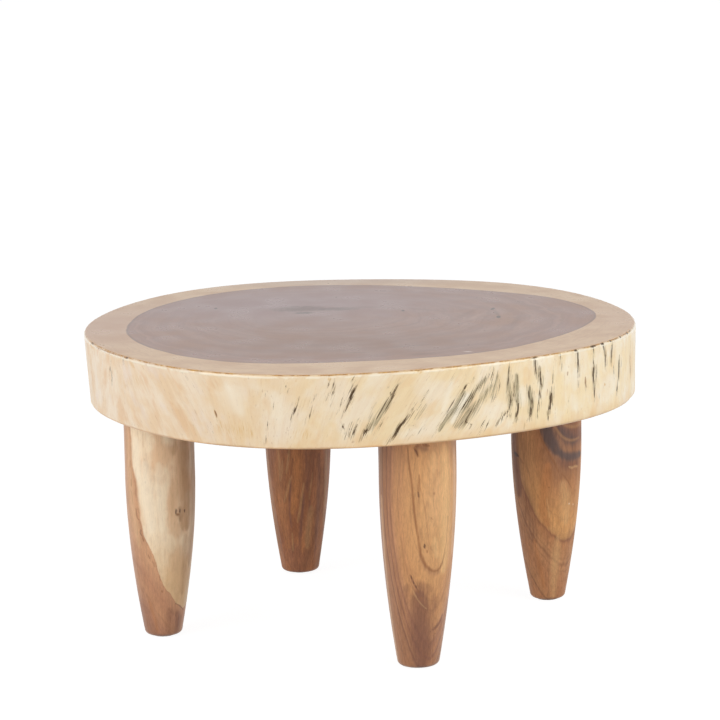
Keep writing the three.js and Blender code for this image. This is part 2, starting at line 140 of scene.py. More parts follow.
# Stains in the sapwood of the side, by kind: half width, strength, then each point's direction and
# height above the floor
INK, GREY, AMBER, RUST, PALE, SPRAY = "ink", "grey", "amber", "rust", "pale", "spray"
SIDE_KINDS = [INK, GREY, AMBER, RUST, PALE, SPRAY]
SIDE_STAINS = {
    INK: [
        (1.4, 0.64, 287.5, 366, 287, 359, 286.6, 354, 286.1, 349, 286, 340),
        (1.4, 0.55, 287.8, 362, 287.6, 353), (1.4, 0.5, 286, 340, 285.9, 336),
        (1.4, 0.5, 286.7, 362, 286.4, 355), (1.4, 0.45, 290.5, 371, 289.9, 364),
        (1.4, 0.6, 289.8, 361, 289.6, 355), (1.4, 0.6, 289.6, 351, 289, 344),
        (1.4, 0.6, 293.5, 390, 292.9, 382), (1.4, 0.6, 294.3, 389, 294, 382),
        (1.4, 0.55, 293.6, 380, 293.2, 374), (1.4, 0.5, 294.1, 379, 293.9, 374),
        (1.4, 0.35, 293.9, 374, 293.6, 367), (1.4, 0.6, 298, 393, 297.7, 383, 297, 373, 296.2, 365),
        (2.3, 1, 298.1, 379, 297.8, 374, 297.4, 368),
        (1.5, 0.7, 298.4, 386, 298, 378, 297.5, 369, 296.8, 360, 296.1, 351),
        (1.4, 0.5, 296, 372, 295.4, 363, 295, 356), (1.5, 0.7, 295.7, 335, 296.3, 330, 296.1, 324),
        (1.4, 0.5, 295.2, 337, 295.3, 329), (1.7, 0.8, 298.6, 337, 298.2, 330, 297.6, 323),
        (1.7, 0.8, 297.3, 332, 297.1, 329), (1.8, 0.78, 300.1, 329, 299.7, 322),
        (1.4, 0.5, 281.4, 338, 281.1, 325, 280.5, 311), (1.4, 0.4, 282.6, 361, 282.7, 353),
        (1.4, 0.3, 281, 381, 281.4, 374), (1.3, 0.6, 285.1, 387, 285.3, 385),
        (1.4, 0.3, 285.6, 334, 285.4, 330), (1.4, 0.3, 289.7, 333, 289.5, 327),
        (1.5, 0.53, 306.9, 386, 306.5, 381, 306.1, 375), (1.9, 0.88, 306.2, 377, 305.8, 371, 305.4, 366),
        (1.5, 0.53, 305.2, 375, 305.4, 370),
        (1.6, 0.58, 304.9, 366, 304, 359, 303.3, 352, 302.7, 345, 302.3, 339),
        (1.5, 0.48, 304.8, 358, 303.9, 347, 303, 339), (2.8, 0.88, 300.6, 329, 300.1, 326, 299.8, 323),
        (1.6, 0.53, 303.9, 341, 303.4, 335, 302.3, 329), (1.4, 0.38, 301.6, 333, 300.9, 325),
        (1.5, 0.58, 310.4, 360, 309.6, 351, 308.9, 344),
        (1.5, 0.58, 312.4, 367, 311.6, 359, 310.7, 351, 310.1, 348),
        (2.7, 0.93, 309.1, 345, 308, 336, 307.2, 332, 306.4, 324),
        (2.2, 0.83, 306.5, 325, 305.7, 318, 304.9, 311), (1.5, 0.48, 308.5, 331, 309.4, 331, 310.3, 329),
        (1.5, 0.53, 311.1, 325, 310.6, 321, 309.6, 318), (1.4, 0.38, 309.2, 328, 308.8, 323),
        (1.8, 0.67, 322, 377, 321.3, 374, 320.9, 370),
        (1.5, 0.57, 319.5, 364, 318.3, 354, 317.1, 342, 316, 332, 314.9, 325, 314.5, 319),
        (1.5, 0.47, 320.9, 366, 319.9, 355, 318.9, 345, 317.9, 339),
        (1.6, 0.67, 325.8, 383, 325.2, 376, 324, 370, 322.8, 363, 322.2, 359),
        (1.5, 0.62, 323.2, 360, 322.1, 357, 320.9, 352, 320.2, 344),
        (1.5, 0.62, 323.8, 350, 322.7, 343, 321.6, 337, 320.8, 329, 322.3, 325),
        (1.3, 0.55, 323.3, 369, 322.3, 362), (1.3, 0.55, 325.5, 383, 324.7, 378),
        (1.4, 0.6, 323.6, 354, 322.6, 342), (1.4, 0.6, 323.2, 347, 322.4, 341),
        (1.2, 0.45, 325.2, 363, 323.6, 356), (1.3, 0.5, 322.1, 357, 321.7, 352),
        (1.2, 0.45, 324.8, 373, 323.9, 366), (1.2, 0.4, 328.3, 358, 327.2, 351),
        (1.3, 0.45, 333.7, 379, 333.6, 368), (1.4, 0.47, 324.4, 357, 323.2, 347),
        (1.7, 0.7, 327.3, 387, 327.2, 382, 326.9, 375), (1.5, 0.55, 326.5, 388, 326.3, 381),
        (1.5, 0.57, 325.9, 331, 325.1, 325, 324.3, 319), (1.4, 0.55, 326.2, 324, 325.6, 320),
        (1.4, 0.47, 324.8, 316, 323.8, 311), (1.4, 0.37, 320.1, 393, 319.3, 385),
        (1.4, 0.37, 319, 392, 318.1, 383), (1.4, 0.33, 308, 393, 307.6, 387),
        (1.4, 0.45, 327.2, 386, 326.9, 378), (1.5, 0.55, 328.6, 382, 328.8, 372, 328.7, 362),
        (1.5, 0.55, 331.1, 392, 331.1, 380, 330.8, 369, 330.9, 357),
        (2, 0.85, 331.2, 356, 331.5, 345, 331.1, 336), (1.9, 0.8, 330.7, 336, 329.8, 332, 328.9, 326),
        (1.5, 0.55, 331.4, 335, 330.4, 329, 329.3, 326),
        (1.5, 0.55, 332.1, 374, 332.3, 363, 332.2, 354, 332.8, 345),
        (2.2, 1, 333.2, 344, 333.1, 335, 332.7, 327), (1.5, 0.65, 335.6, 360, 335.8, 352, 336.3, 342),
        (2, 0.85, 336.3, 337, 336.3, 331, 336.1, 325), (1.4, 0.55, 336.8, 351, 336.6, 341),
        (1.4, 0.55, 335.7, 324, 335, 317), (1.7, 0.8, 337.3, 400, 337.5, 387, 337.7, 378),
        (2, 0.9, 338.6, 380, 338.7, 369, 338.9, 363),
        (1.7, 0.8, 338.7, 363, 338.5, 355, 338.5, 347, 338.2, 337, 338, 329),
        (1.4, 0.5, 338, 329, 337.8, 319), (2.3, 1, 341.5, 351, 341.3, 343, 341.1, 334, 340.8, 330),
        (1.4, 0.5, 340.6, 322, 340.4, 316), (1.4, 0.4, 342, 379, 341.8, 361),
        (1.7, 0.73, 344, 398, 344.2, 387, 344.3, 375), (1.5, 0.48, 345.8, 337, 345.7, 328),
        (2.2, 1, 348.6, 399, 348.8, 389, 348.9, 378, 348.9, 370), (1.4, 0.43, 349, 361, 348.8, 349),
        (1.6, 0.63, 351.1, 356, 351.3, 348), (1.6, 0.68, 353.6, 400, 353.8, 388, 353.6, 377),
        (2.2, 1, 353.6, 371, 353.6, 361, 353.8, 351, 353.8, 343), (1.6, 0.78, 353.8, 343, 353.9, 333),
        (1.5, 0.73, 354.6, 367, 354.5, 353), (2.2, 1, 357.1, 400, 357.4, 390),
        (1.8, 0.83, 357.9, 384, 358, 368), (1.7, 0.88, 0.5, 394, 0.2, 383, 0.1, 372),
        (1.4, 0.53, 1.1, 366, 1.2, 355), (1.7, 0.88, 3.7, 370, 3.6, 356, 3.1, 343, 2.4, 331),
        (1.4, 0.48, 4.9, 373, 4.8, 358), (1.5, 0.68, 11.6, 380, 11.1, 358, 11.7, 340),
        (1.4, 0.58, 11.9, 334, 11.9, 322), (1.5, 0.6, 237.3, 383, 236.3, 372),
        (1.6, 0.7, 237.2, 368, 236.8, 360), (1.5, 0.6, 243.9, 399, 243.7, 394),
        (1.6, 0.5, 262.9, 396, 263.5, 392), (1.3, 0.45, 270.5, 350, 270.7, 344),
        (1.4, 0.3, 269.6, 325, 269.9, 318),
    ],
    RUST: [
        (1.5, 0.35, 281.2, 381, 282.2, 376, 282.6, 370), (2.2, 0.5, 297.4, 314, 298.1, 315),
        (1.8, 0.4, 298.8, 315, 299.1, 313), (1.8, 0.5, 327.3, 388, 326.9, 376),
        (1.5, 0.6, 340.5, 356, 340.3, 347), (2, 0.7, 345.9, 374, 345.8, 369),
        (2, 0.85, 351, 362, 351, 354, 351.3, 348), (3, 0.5, 230.3, 334, 230.1, 327),
        (1.8, 0.9, 270.4, 351, 270.8, 343), (1.5, 0.35, 266.1, 341, 265.5, 349),
        (1.5, 0.3, 268.2, 335, 268.6, 327), (1.5, 0.7, 228.4, 397, 243.6, 399),
        (2.2, 0.85, 243.9, 399, 245.7, 399),
    ],
    AMBER: [
        (1.8, 0.5, 284.8, 387, 284.9, 386), (2, 0.5, 287.2, 394, 287.3, 391),
        (3, 0.75, 293.2, 395, 293.8, 394), (2.5, 0.7, 310.9, 397, 311.7, 396), (3, 0.4, 8.4, 362, 7.9, 351),
        (2.2, 0.8, 357.4, 347, 357.4, 344), (3.5, 0.6, 246.3, 395, 247.8, 389),
        (3, 0.6, 270.3, 352, 270.8, 342), (2.4, 0.8, 223.9, 394, 227.5, 395),
        (16, 0.45, 271, 330, 278, 325), (12, 0.4, 286, 328, 289.5, 326), (14, 0.4, 244, 362, 250, 372),
    ],
    GREY: [
        (5, 0.85, 305.4, 366, 304, 355, 303, 345, 301.6, 334),
        (5.5, 0.7, 302.9, 345, 301.6, 334, 300.7, 329), (3, 0.4, 302.4, 363, 301.5, 351, 300.6, 340),
        (5, 0.4, 312.6, 354, 311.4, 346, 310.2, 339),
        (4.6, 0.9, 321, 367, 319.7, 356, 318.9, 347, 317.6, 339, 316.4, 330, 315.3, 321),
        (4, 0.6, 318.9, 345, 317.3, 333, 315.6, 325),
        (5, 0.9, 325.8, 381, 324.5, 374, 323.2, 365, 322.2, 357, 321.2, 349, 320.2, 340),
        (8, 0.8, 323.9, 352, 322.1, 340, 320.8, 333, 319.4, 324),
        (6, 0.6, 322.7, 358, 320.9, 347, 319.8, 336, 318.7, 324), (7, 0.7, 327, 371, 325.4, 361, 324, 351),
        (5.5, 0.65, 328.4, 382, 327.8, 369, 326.9, 356),
        (3.5, 0.75, 331.1, 392, 331.2, 375, 330.9, 362, 331.2, 349),
        (5, 0.85, 330.9, 378, 331.1, 358, 331.3, 344, 331.2, 337),
        (5, 0.9, 332.8, 380, 333, 365, 333, 352, 333.2, 341),
        (5.5, 0.95, 335.9, 362, 336.2, 346, 336.2, 328), (3.5, 0.6, 337.6, 395, 337.7, 379),
        (4.5, 0.7, 338.9, 377, 338.7, 360), (3, 0.3, 355.6, 336, 355.7, 330),
    ],
    PALE: [
        (5, 0.9, 321.6, 363, 319.7, 346, 318, 330), (5, 0.7, 318.1, 379, 317.1, 360, 316.1, 347),
        (9, 0.6, 348.1, 372, 347.8, 350), (9, 0.6, 346.9, 342, 348.3, 326),
        (7, 0.5, 334.2, 364, 334.4, 341), (9, 0.5, 239.2, 375, 239.6, 344), (14, 0.6, 273.5, 382, 276, 352),
        (12, 0.5, 283, 376, 283.5, 346),
    ],
}

# Dark nicks in the rim: kind, direction, half length
RIM_NICKS = [
    (RUST, 337.4, 7), (INK, 348.3, 2.5), (INK, 353.8, 6), (INK, 357, 4), (INK, 0.2, 2.5),
    (AMBER, 2.5, 15), (INK, 5, 2.5), (INK, 9.3, 3), (RUST, 11.6, 4), (RUST, 226, 9),
    (RUST, 245, 4), (AMBER, 293.5, 6), (AMBER, 311.5, 5),
]
NICK_WEIGHTS = {INK: 1, RUST: 0.65, AMBER: 0.4}

# Random stains for the far side: the range of directions, how many groups there are and the range of
# stains in each, how far they scatter and bend, then ranges of heights above the floor, of lengths, of
# half widths and of strengths
FAR_SIDE = (25, 215)
FAR_SIDE_GROUPS = 26
FAR_SIDE_GROUP = (1, 5)
FAR_SIDE_SCATTER = 2.2
FAR_SIDE_BEND = 0.5
FAR_SIDE_TOPS = (335, 396)
FAR_SIDE_LENGTHS = (12, 45)
FAR_SIDE_LOWEST = 312
FAR_SIDE_KINDS = [INK, INK, INK, GREY, RUST, AMBER]
FAR_SIDE_WIDTHS = (2, 3)
FAR_SIDE_GREY_WIDER = 4
FAR_SIDE_STRENGTHS = (0.5, 0.95)

# The side's relief: how deep each kind of unevenness goes. Waves are given by the range of their
# repeats round the slice and their number.
FIBRE_RIPPLE = 0.16
FIBRE_WAVES = ((60, 200), 14)
SIDE_RIPPLE = 0.35
SIDE_WAVES = ((9, 26), 6)
SIDE_WAVE_HEIGHT = 30
SIDE_WAVE_STEADY = 0.6
INK_FURROW = 0.45
GREY_FURROW = 0.15
NICK_DEPTH = 0.8
NICK_HEIGHT = 2.5

# The relief fades below this height over the underside
RELIEF_LOWEST = 2

# Meshes: columns round the slice, close where the stains are, and rows down its side
FINE_FROM, FINE_TO = 222, 378
FINE_COLUMNS, PLAIN_COLUMNS = 1060, 260
TOP_RINGS = [0.04, 0.12, 0.22, 0.33, 0.44, 0.55, 0.65, 0.73, 0.79, 0.84, 0.89, 0.93, 0.96, 0.985]
TOP_ROUND_STEPS = 7
SIDE_STEPS = 44
UNDERSIDE_ROUND_STEPS = 8
HOLE_SEGMENTS = 48
LEG_SEGMENTS = 180
LEG_STEPS = 150
FOOT_STEPS = 10

# The underside's net: how far its points stand from each other, from the rim and from a hole's middle,
# and the reach round a hole's middle that holds no face
UNDERSIDE_POINT_GAP = 24
UNDERSIDE_RIM_GAP = 45
UNDERSIDE_HOLE_GAP = 20
UNDERSIDE_HOLE_REACH = 12

random = np.random.default_rng(20)


# Shapes

def swell(lobes, angle):
    return 1 + sum(share * np.cos(repeats * (angle - math.radians(crest)))
                   for repeats, share, crest in lobes)


def rim_radius(angle):
    return SLAB_RADIUS * swell(OUTLINE_LOBES, angle)


def outline_centre():
    """The middle of the outline's box, which the CAD puts over the origin."""
    angle = np.radians(np.arange(0, 360, OUTLINE_STEP))
    outline = rim_radius(angle) * np.array([np.cos(angle), np.sin(angle)])
    return (outline.min(1) + outline.max(1)) / 2


SLAB_CENTRE = -outline_centre()


def around(table, angle):
    """A table of (degrees, value) read at any angle, going round."""
    degrees, values = np.array(table, float).T
    order = np.argsort(degrees)
    return np.interp(np.degrees(angle), degrees[order], values[order], period=360)


def turn_from(degrees, start):
    """How far round a direction is from another, within half a turn."""
    return (degrees - start + 180) % 360 - 180


def waves(angle, repeats, count):
    """A ripple that closes round the circle, about one unit high, from count waves."""
    total = np.zeros_like(angle)
    for _ in range(count):
        k = random.integers(*repeats)
        total = total + np.cos(k * angle + random.uniform(0, 2 * math.pi))
    return total / math.sqrt(count / 2)


def full_turn(columns):
    return np.linspace(0, 2 * math.pi, columns, endpoint=False)


def link(name, data):
    """A new object with that mesh, light or camera, in the scene."""
    made = bpy.data.objects.new(name, data)
    bpy.context.scene.collection.objects.link(made)
    return made


def link_mesh(name, points, faces, sharp_angle=40):
    mesh = bpy.data.meshes.new(name)
    mesh.from_pydata((np.asarray(points) * MM).tolist(), [], faces)
    mesh.validate()
    mesh.polygons.foreach_set("use_smooth", [True] * len(mesh.polygons))
    mesh.set_sharp_from_angle(angle=math.radians(sharp_angle))
    mesh.update()
    return link(name, mesh)


def quads(upper, lower, columns):
    """Faces between two rings of points, given by the number of each ring's first point."""
    here = np.arange(columns)
    after = (here + 1) % columns
    return np.stack([upper + here, lower + here, lower + after, upper + after], 1).tolist()


def fan(centre, ring_start, columns, up):
    here = ring_start + np.arange(columns)
    after = ring_start + (np.arange(columns) + 1) % columns
    pair = [here, after] if up else [after, here]
    return np.stack([np.full(columns, centre), *pair], 1).tolist()


def bands(ring_count, columns):
    """Faces between rings of points, each ring below the one before it."""
    faces = []
    for ring in range(ring_count - 1):
        faces += quads(ring * columns, (ring + 1) * columns, columns)
    return faces


def lathe(name, rings, close=False, sharp_angle=40):
    """A body from rings of points, shape (rings, columns, 3), top first; close joins last to first."""
    rings = np.asarray(rings, float)
    count, columns = rings.shape[:2]
    points = rings.reshape(-1, 3)
    last = (count - 1) * columns
    faces = bands(count, columns)
    if close:
        faces += quads(last, 0, columns)
    else:
        points = np.vstack([points, rings[0].mean(0), rings[-1].mean(0)])
        faces += fan(count * columns, 0, columns, True)
        faces += fan(count * columns + 1, last, columns, False)
    return link_mesh(name, points, faces, sharp_angle)


def ring_points(radius, height, angle, centre=(0, 0)):
    radius = np.broadcast_to(radius, angle.shape)
    height = np.broadcast_to(height, angle.shape)
    return np.stack([centre[0] + radius * np.cos(angle), centre[1] + radius * np.sin(angle), height], -1)


def mark(piece, name, values):
    """Keeps a number or a vector for each point of a piece, for its material to read."""
    values = np.asarray(values, np.float32)
    kind, field = ("FLOAT", "value") if values.ndim == 1 else ("FLOAT_VECTOR", "vector")
    attribute = piece.data.attributes.new(name, kind, "POINT")
    attribute.data.foreach_set(field, values.ravel())


# Stains as soft strokes over a surface that is unrolled to (run, height). A stroke is looked for up to
# STROKE_REACH degrees away, and it is narrower at its ends; a halo reaches past its ink stroke.
STROKE_REACH = 130
STROKE_END_SHARE = 0.45
HALO_REACH = 6
HALO_LEAST_RUN = 4
HALO_WIDENING = 1.7
HALO_EXTRA = 1.2


def strokes_of(table):
    """Strokes as (kind, half width, strength, path) from a table that lists them by kind."""
    return [(kind, half_width, strength, list(zip(numbers[::2], numbers[1::2])))
            for kind, rows in table.items()
            for half_width, strength, *numbers in rows]


def stroke_cover(run, height, path, half_width, strength):
    """How much one stroke covers each point: strength on its line, falling off to the sides and ends."""
    best = np.zeros_like(run)
    path = np.asarray(path, float)
    steps = np.hypot(*np.diff(path, axis=0).T)
    start = np.concatenate([[0], np.cumsum(steps)])
    for (x0, z0), (x1, z1), length, before in zip(path[:-1], path[1:], steps, start):
        along = ((run - x0) * (x1 - x0) + (height - z0) * (z1 - z0)) / max(length, 1e-6) ** 2
        along = np.clip(along, 0, 1)
        distance = np.hypot(run - x0 - along * (x1 - x0), height - z0 - along * (z1 - z0))
        way = (before + along * length) / start[-1]
        arch = np.sqrt(np.clip(4 * way * (1 - way), 0, 1))
        taper = STROKE_END_SHARE + (1 - STROKE_END_SHARE) * arch
        best = np.maximum(best, strength * np.exp(-(distance / (half_width * taper)) ** 2))
    return best


def softened(path):
    """The same path with its corners cut, twice over."""
    for _ in range(2):
        cut = [path[0]]
        for (a0, z0), (a1, z1) in zip(path[:-1], path[1:]):
            cut.append((0.75 * a0 + 0.25 * a1, 0.75 * z0 + 0.25 * z1))
            cut.append((0.25 * a0 + 0.75 * a1, 0.25 * z0 + 0.75 * z1))
        path = cut + [path[-1]]
    return path


def covers(angle, height, radius_at, strokes, kinds):
    """The cover of each kind of stroke at each point of a round surface with that radius at a height."""
    total = {kind: np.zeros_like(angle) for kind in kinds}
    degrees = np.degrees(angle)
    for kind, half_width, strength, path in strokes:
        middle = path[0][0]
        off = turn_from(degrees, middle)
        near = np.abs(off) < STROKE_REACH
        run = np.radians(off[near]) * radius_at(height[near])
        unrolled = [(math.radians(turn_from(a, middle)) * radius_at(z), z) for a, z in path]
        if len(path) > 2:
            unrolled = softened(unrolled)
        cover = stroke_cover(run, height[near], unrolled, half_width, strength)
        total[kind][near] = np.maximum(total[kind][near], cover)
    return total


def with_halos(strokes):
    """The strokes, and a longer, wider and fainter spray of threads round each ink one."""
    halos = []
    for kind, half_width, strength, path in strokes:
        if kind == INK:
            (top_direction, top), (foot_direction, foot) = path[0], path[-1]
            lean = (foot_direction - top_direction) / max(top - foot, HALO_LEAST_RUN)
            first = (top_direction - lean * HALO_REACH, top + HALO_REACH)
            last = (foot_direction + lean * HALO_REACH, foot - HALO_REACH)
            halos.append((SPRAY, HALO_WIDENING * half_width + HALO_EXTRA, strength, [first, *path, last]))
    return strokes + halos


def far_side_stains():
    """Stains for the part of the rim that the photograph doesn't show, in loose groups."""
    strokes = []
    for middle in random.uniform(*FAR_SIDE, FAR_SIDE_GROUPS):
        for _ in range(random.integers(*FAR_SIDE_GROUP)):
            direction = middle + random.normal(0, FAR_SIDE_SCATTER)
            top = random.uniform(*FAR_SIDE_TOPS)
            length = random.uniform(*FAR_SIDE_LENGTHS)
            bend = random.normal(0, FAR_SIDE_BEND)
            lean = -length * around(FIBRE_LEAN, math.radians(direction)) / SLAB_RADIUS
            foot = direction + math.degrees(lean) + bend
            bottom = max(top - length, FAR_SIDE_LOWEST)
            elbow = ((direction + foot) / 2 + bend, (top + bottom) / 2)
            kind = random.choice(FAR_SIDE_KINDS)
            width = random.uniform(*FAR_SIDE_WIDTHS) + (FAR_SIDE_GREY_WIDER if kind == GREY else 0)
            strength = random.uniform(*FAR_SIDE_STRENGTHS)
            strokes.append((kind, width, strength, [(direction, top), elbow, (foot, bottom)]))
    return strokes


# The trunk slice

def slab_columns():
    fine = np.linspace(FINE_FROM, FINE_TO, FINE_COLUMNS, endpoint=False)
    plain = np.linspace(FINE_TO, FINE_FROM + 360, PLAIN_COLUMNS, endpoint=False)
    return np.radians(np.concatenate([fine, plain]))


def slab_section(angle):
    """Rows of insets and heights over the underside, from the rim's top down to the underside."""
    lean = SIDE_DRAW_IN * np.maximum(swell(DRAW_IN_LOBES, angle), 0)
    under_round = np.maximum(UNDERSIDE_ROUND * swell(UNDERSIDE_ROUND_LOBES, angle), UNDERSIDE_ROUND_LEAST)
    side_top = SLAB_THICKNESS - TOP_EDGE_ROUND
    rows = []
    for turn in np.linspace(0, math.pi / 2, TOP_ROUND_STEPS + 1):
        height = side_top + TOP_EDGE_ROUND * math.cos(turn)
        rows.append((TOP_EDGE_ROUND * (1 - math.sin(turn)), height))
    for share in np.linspace(0, 1, SIDE_STEPS + 1)[1:-1]:
        rows.append((0, side_top + (under_round - side_top) * share))
    for turn in np.linspace(0, math.pi / 2, UNDERSIDE_ROUND_STEPS + 1):
        rows.append((under_round * (1 - math.cos(turn)), under_round * (1 - math.sin(turn))))
    insets = [lean * (1 - height / SLAB_THICKNESS) + inset for inset, height in rows]
    heights = [np.broadcast_to(height, angle.shape) for _, height in rows]
    return np.array(insets), np.array(heights)


def fibre_angle(angle, height):
    """The direction that a fibre at this place has at the middle of the side."""
    lean = around(FIBRE_LEAN, angle)
    return angle + lean * (SLAB_THICKNESS / 2 - height) / SLAB_RADIUS


def nick_cover(angle, direction, half_length):
    """1 at a nick in the rim, falling to 0 past its ends."""
    run = np.radians(turn_from(np.degrees(angle), direction)) * SLAB_RADIUS
    return np.exp(-(run / half_length) ** 4)


def side_relief(angle, height, cover):
    """How far the side stands in: ripples along the fibres, furrows at the stains, and rim nicks."""
    depth = FIBRE_RIPPLE * waves(fibre_angle(angle, height), *FIBRE_WAVES)
    steady = SIDE_WAVE_STEADY + (1 - SIDE_WAVE_STEADY) * np.cos(height / SIDE_WAVE_HEIGHT)
    depth += SIDE_RIPPLE * waves(angle, *SIDE_WAVES) * steady
    depth += INK_FURROW * cover[INK] + GREY_FURROW * cover[GREY]
    rim = np.exp(-((SLAB_THICKNESS - height) / NICK_HEIGHT) ** 2)
    for _, direction, half_length in RIM_NICKS:
        depth += NICK_DEPTH * rim * nick_cover(angle, direction, half_length)
    return depth


def underside_points(reach, centres):
    """Loose points in a square grid over the underside, clear of its rim and its holes."""
    steps = np.arange(-reach, reach, UNDERSIDE_POINT_GAP)
    inner = np.array([(x, y) for x in steps for y in steps])
    local = inner - SLAB_CENTRE
    keep = np.hypot(*local.T) < rim_radius(np.arctan2(local[:, 1], local[:, 0])) - UNDERSIDE_RIM_GAP
    for centre in centres:
        keep &= np.hypot(*(inner - centre).T) > UNDERSIDE_HOLE_GAP
    return inner[keep]


def underside_patch(ring, mouths):
    """Triangles from a ring of points in to the holes' mouths, and the loose points between."""
    loops = [loop[:, :2] for loop in (ring, *mouths)]
    centres = [loop.mean(0) for loop in loops[1:]]
    inner = underside_points(np.abs(loops[0]).max(), centres)
    edges = []
    start = 0
    for loop in loops:
        here = np.arange(len(loop))
        edges += np.stack([start + here, start + (here + 1) % len(loop)], 1).tolist()
        start += len(loop)
    flat = np.vstack(loops + [inner])
    found = delaunay_2d_cdt([Vector(p) for p in flat.tolist()], edges, [], 1, 1e-6)
    triangles = []
    for face in found[2]:
        corners = [found[3][i][0] for i in face]
        middle = flat[corners].mean(0)
        if any(np.hypot(*(middle - centre)) < UNDERSIDE_HOLE_REACH for centre in centres):
            continue
        a, b, c = flat[corners]
        up = (b[0] - a[0]) * (c[1] - a[1]) - (b[1] - a[1]) * (c[0] - a[0]) > 0
        triangles.append(corners[::-1] if up else corners)
    return inner, triangles


def blind_hole(centre, mouth, start):
    """Points and faces of a stepped hole, from the numbers of its mouth's and its own first point."""
    profile = [(MOUTH_RADIUS, SEAT_Z), (HOLE_RADIUS, SEAT_Z), (HOLE_RADIUS, HOLE_TOP_Z)]
    walls = [ring_points(radius, height, full_turn(HOLE_SEGMENTS), centre) for radius, height in profile]
    faces = []
    for wall in range(len(walls)):
        here = start + wall * HOLE_SEGMENTS
        faces += quads(mouth, here, HOLE_SEGMENTS)
        mouth = here
    faces += fan(start + len(walls) * HOLE_SEGMENTS, mouth, HOLE_SEGMENTS, False)
    return [*walls, np.array([[*centre, HOLE_TOP_Z]])], faces


def stained_side(angle, insets, heights):
    """The cover of each kind of stain on the slice's side, and the side's radius with its relief."""
    grid = np.broadcast_to(angle, insets.shape)
    flat_radius = rim_radius(angle) - insets
    strokes = with_halos(strokes_of(SIDE_STAINS) + far_side_stains())
    floor_heights = SLAB_UNDERSIDE_Z + heights.ravel()
    cover = covers(grid.ravel(), floor_heights, lambda z: SLAB_RADIUS, strokes, SIDE_KINDS)
    cover = {kind: values.reshape(insets.shape) for kind, values in cover.items()}
    fade = np.exp(-2 * np.maximum(RELIEF_LOWEST - heights, 0))
    radius = flat_radius - side_relief(grid, heights, cover) * fade
    radius[0] = flat_radius[0]
    return cover, radius


def build_slab(places):
    angle = slab_columns()
    columns = len(angle)
    insets, heights = slab_section(angle)
    cover, radius = stained_side(angle, insets, heights)
    top = [ring_points(radius[0] * share, TABLE_HEIGHT, angle, SLAB_CENTRE) for share in TOP_RINGS]
    side = [ring_points(r, SLAB_UNDERSIDE_Z + h, angle, SLAB_CENTRE) for r, h in zip(radius, heights)]
    rings = np.array(top + side)
    mouths = [ring_points(MOUTH_RADIUS, SLAB_UNDERSIDE_Z, full_turn(HOLE_SEGMENTS), place)
              for place in places.values()]
    inner, triangles = underside_patch(rings[-1], mouths)
    points = [rings.reshape(-1, 3), *mouths, np.column_stack([inner, np.full(len(inner), SLAB_UNDERSIDE_Z)])]
    faces = bands(len(rings), columns)
    faces += (np.array(triangles) + (len(rings) - 1) * columns).tolist()
    total = sum(map(len, points))
    for number, place in enumerate(places.values()):
        mouth = len(rings) * columns + number * HOLE_SEGMENTS
        walls, wall_faces = blind_hole(place, mouth, total)
        points += walls
        faces += wall_faces
        total += sum(map(len, walls))
    points.append(np.array([[*SLAB_CENTRE, TABLE_HEIGHT]]))
    faces += fan(total, 0, columns, True)
    points = np.vstack(points)
    piece = link_mesh("trunk_slice", points, faces)
    mark_slab(piece, points, cover, len(top) * columns)
    return piece


def mark_slab(piece, points, cover, side_start):
    """What the slice's material reads at each point."""
    local = points[:, :2] - SLAB_CENTRE
    angle = np.arctan2(local[:, 1], local[:, 0])
    radius = np.hypot(*local.T)
    rise = points[:, 2] - SLAB_UNDERSIDE_Z
    for kind, values in cover.items():
        whole = np.zeros(len(points))
        whole[side_start:side_start + values.size] = values.ravel()
        mark(piece, kind, whole)
    fibre = fibre_angle(angle, np.clip(rise, 0, SLAB_THICKNESS))
    mark(piece, "grain", np.column_stack([radius * np.cos(fibre), radius * np.sin(fibre), points[:, 2]]))
    mark(piece, "heart", HEART_RADIUS * swell(HEART_LOBES, angle) - radius)
    mark(piece, "ring_stretch", ring_stretch(local))
    mark(piece, "past_rim", TABLE_HEIGHT - points[:, 2] - (rim_radius(angle) - radius))
    mark(piece, "rise", rise)
    mark(piece, "tone", around(SIDE_TONE, angle))
    mark(piece, "painted_shade", around(SIDE_PAINTED_SHADE, angle))
    nicks = [NICK_WEIGHTS[kind] * nick_cover(angle, direction, half_length)
             for kind, direction, half_length in RIM_NICKS]
    mark(piece, "nick", np.max(nicks, 0))


def ring_stretch(local):
    """The slice's mean radius over the distance from the pith to the rim, through each point."""
    way = local - np.array(PITH)
    direction = way / np.maximum(np.hypot(*way.T), 1e-6)[:, None]
    reach = np.full(len(local), float(SLAB_RADIUS))
    for _ in range(REACH_ROUNDS):
        end = np.array(PITH) + direction * reach[:, None]
        reach = reach + rim_radius(np.arctan2(end[:, 1], end[:, 0])) - np.hypot(*end.T)
    return SLAB_RADIUS / reach


# Node materials

def colour(red, green, blue):
    """An sRGB colour, 0 to 255, as Blender's linear one."""
    share = np.array([red, green, blue]) / 255
    linear = np.where(share <= 0.04045, share / 12.92, ((share + 0.055) / 1.055) ** 2.4)
    return (*linear.tolist(), 1.0)


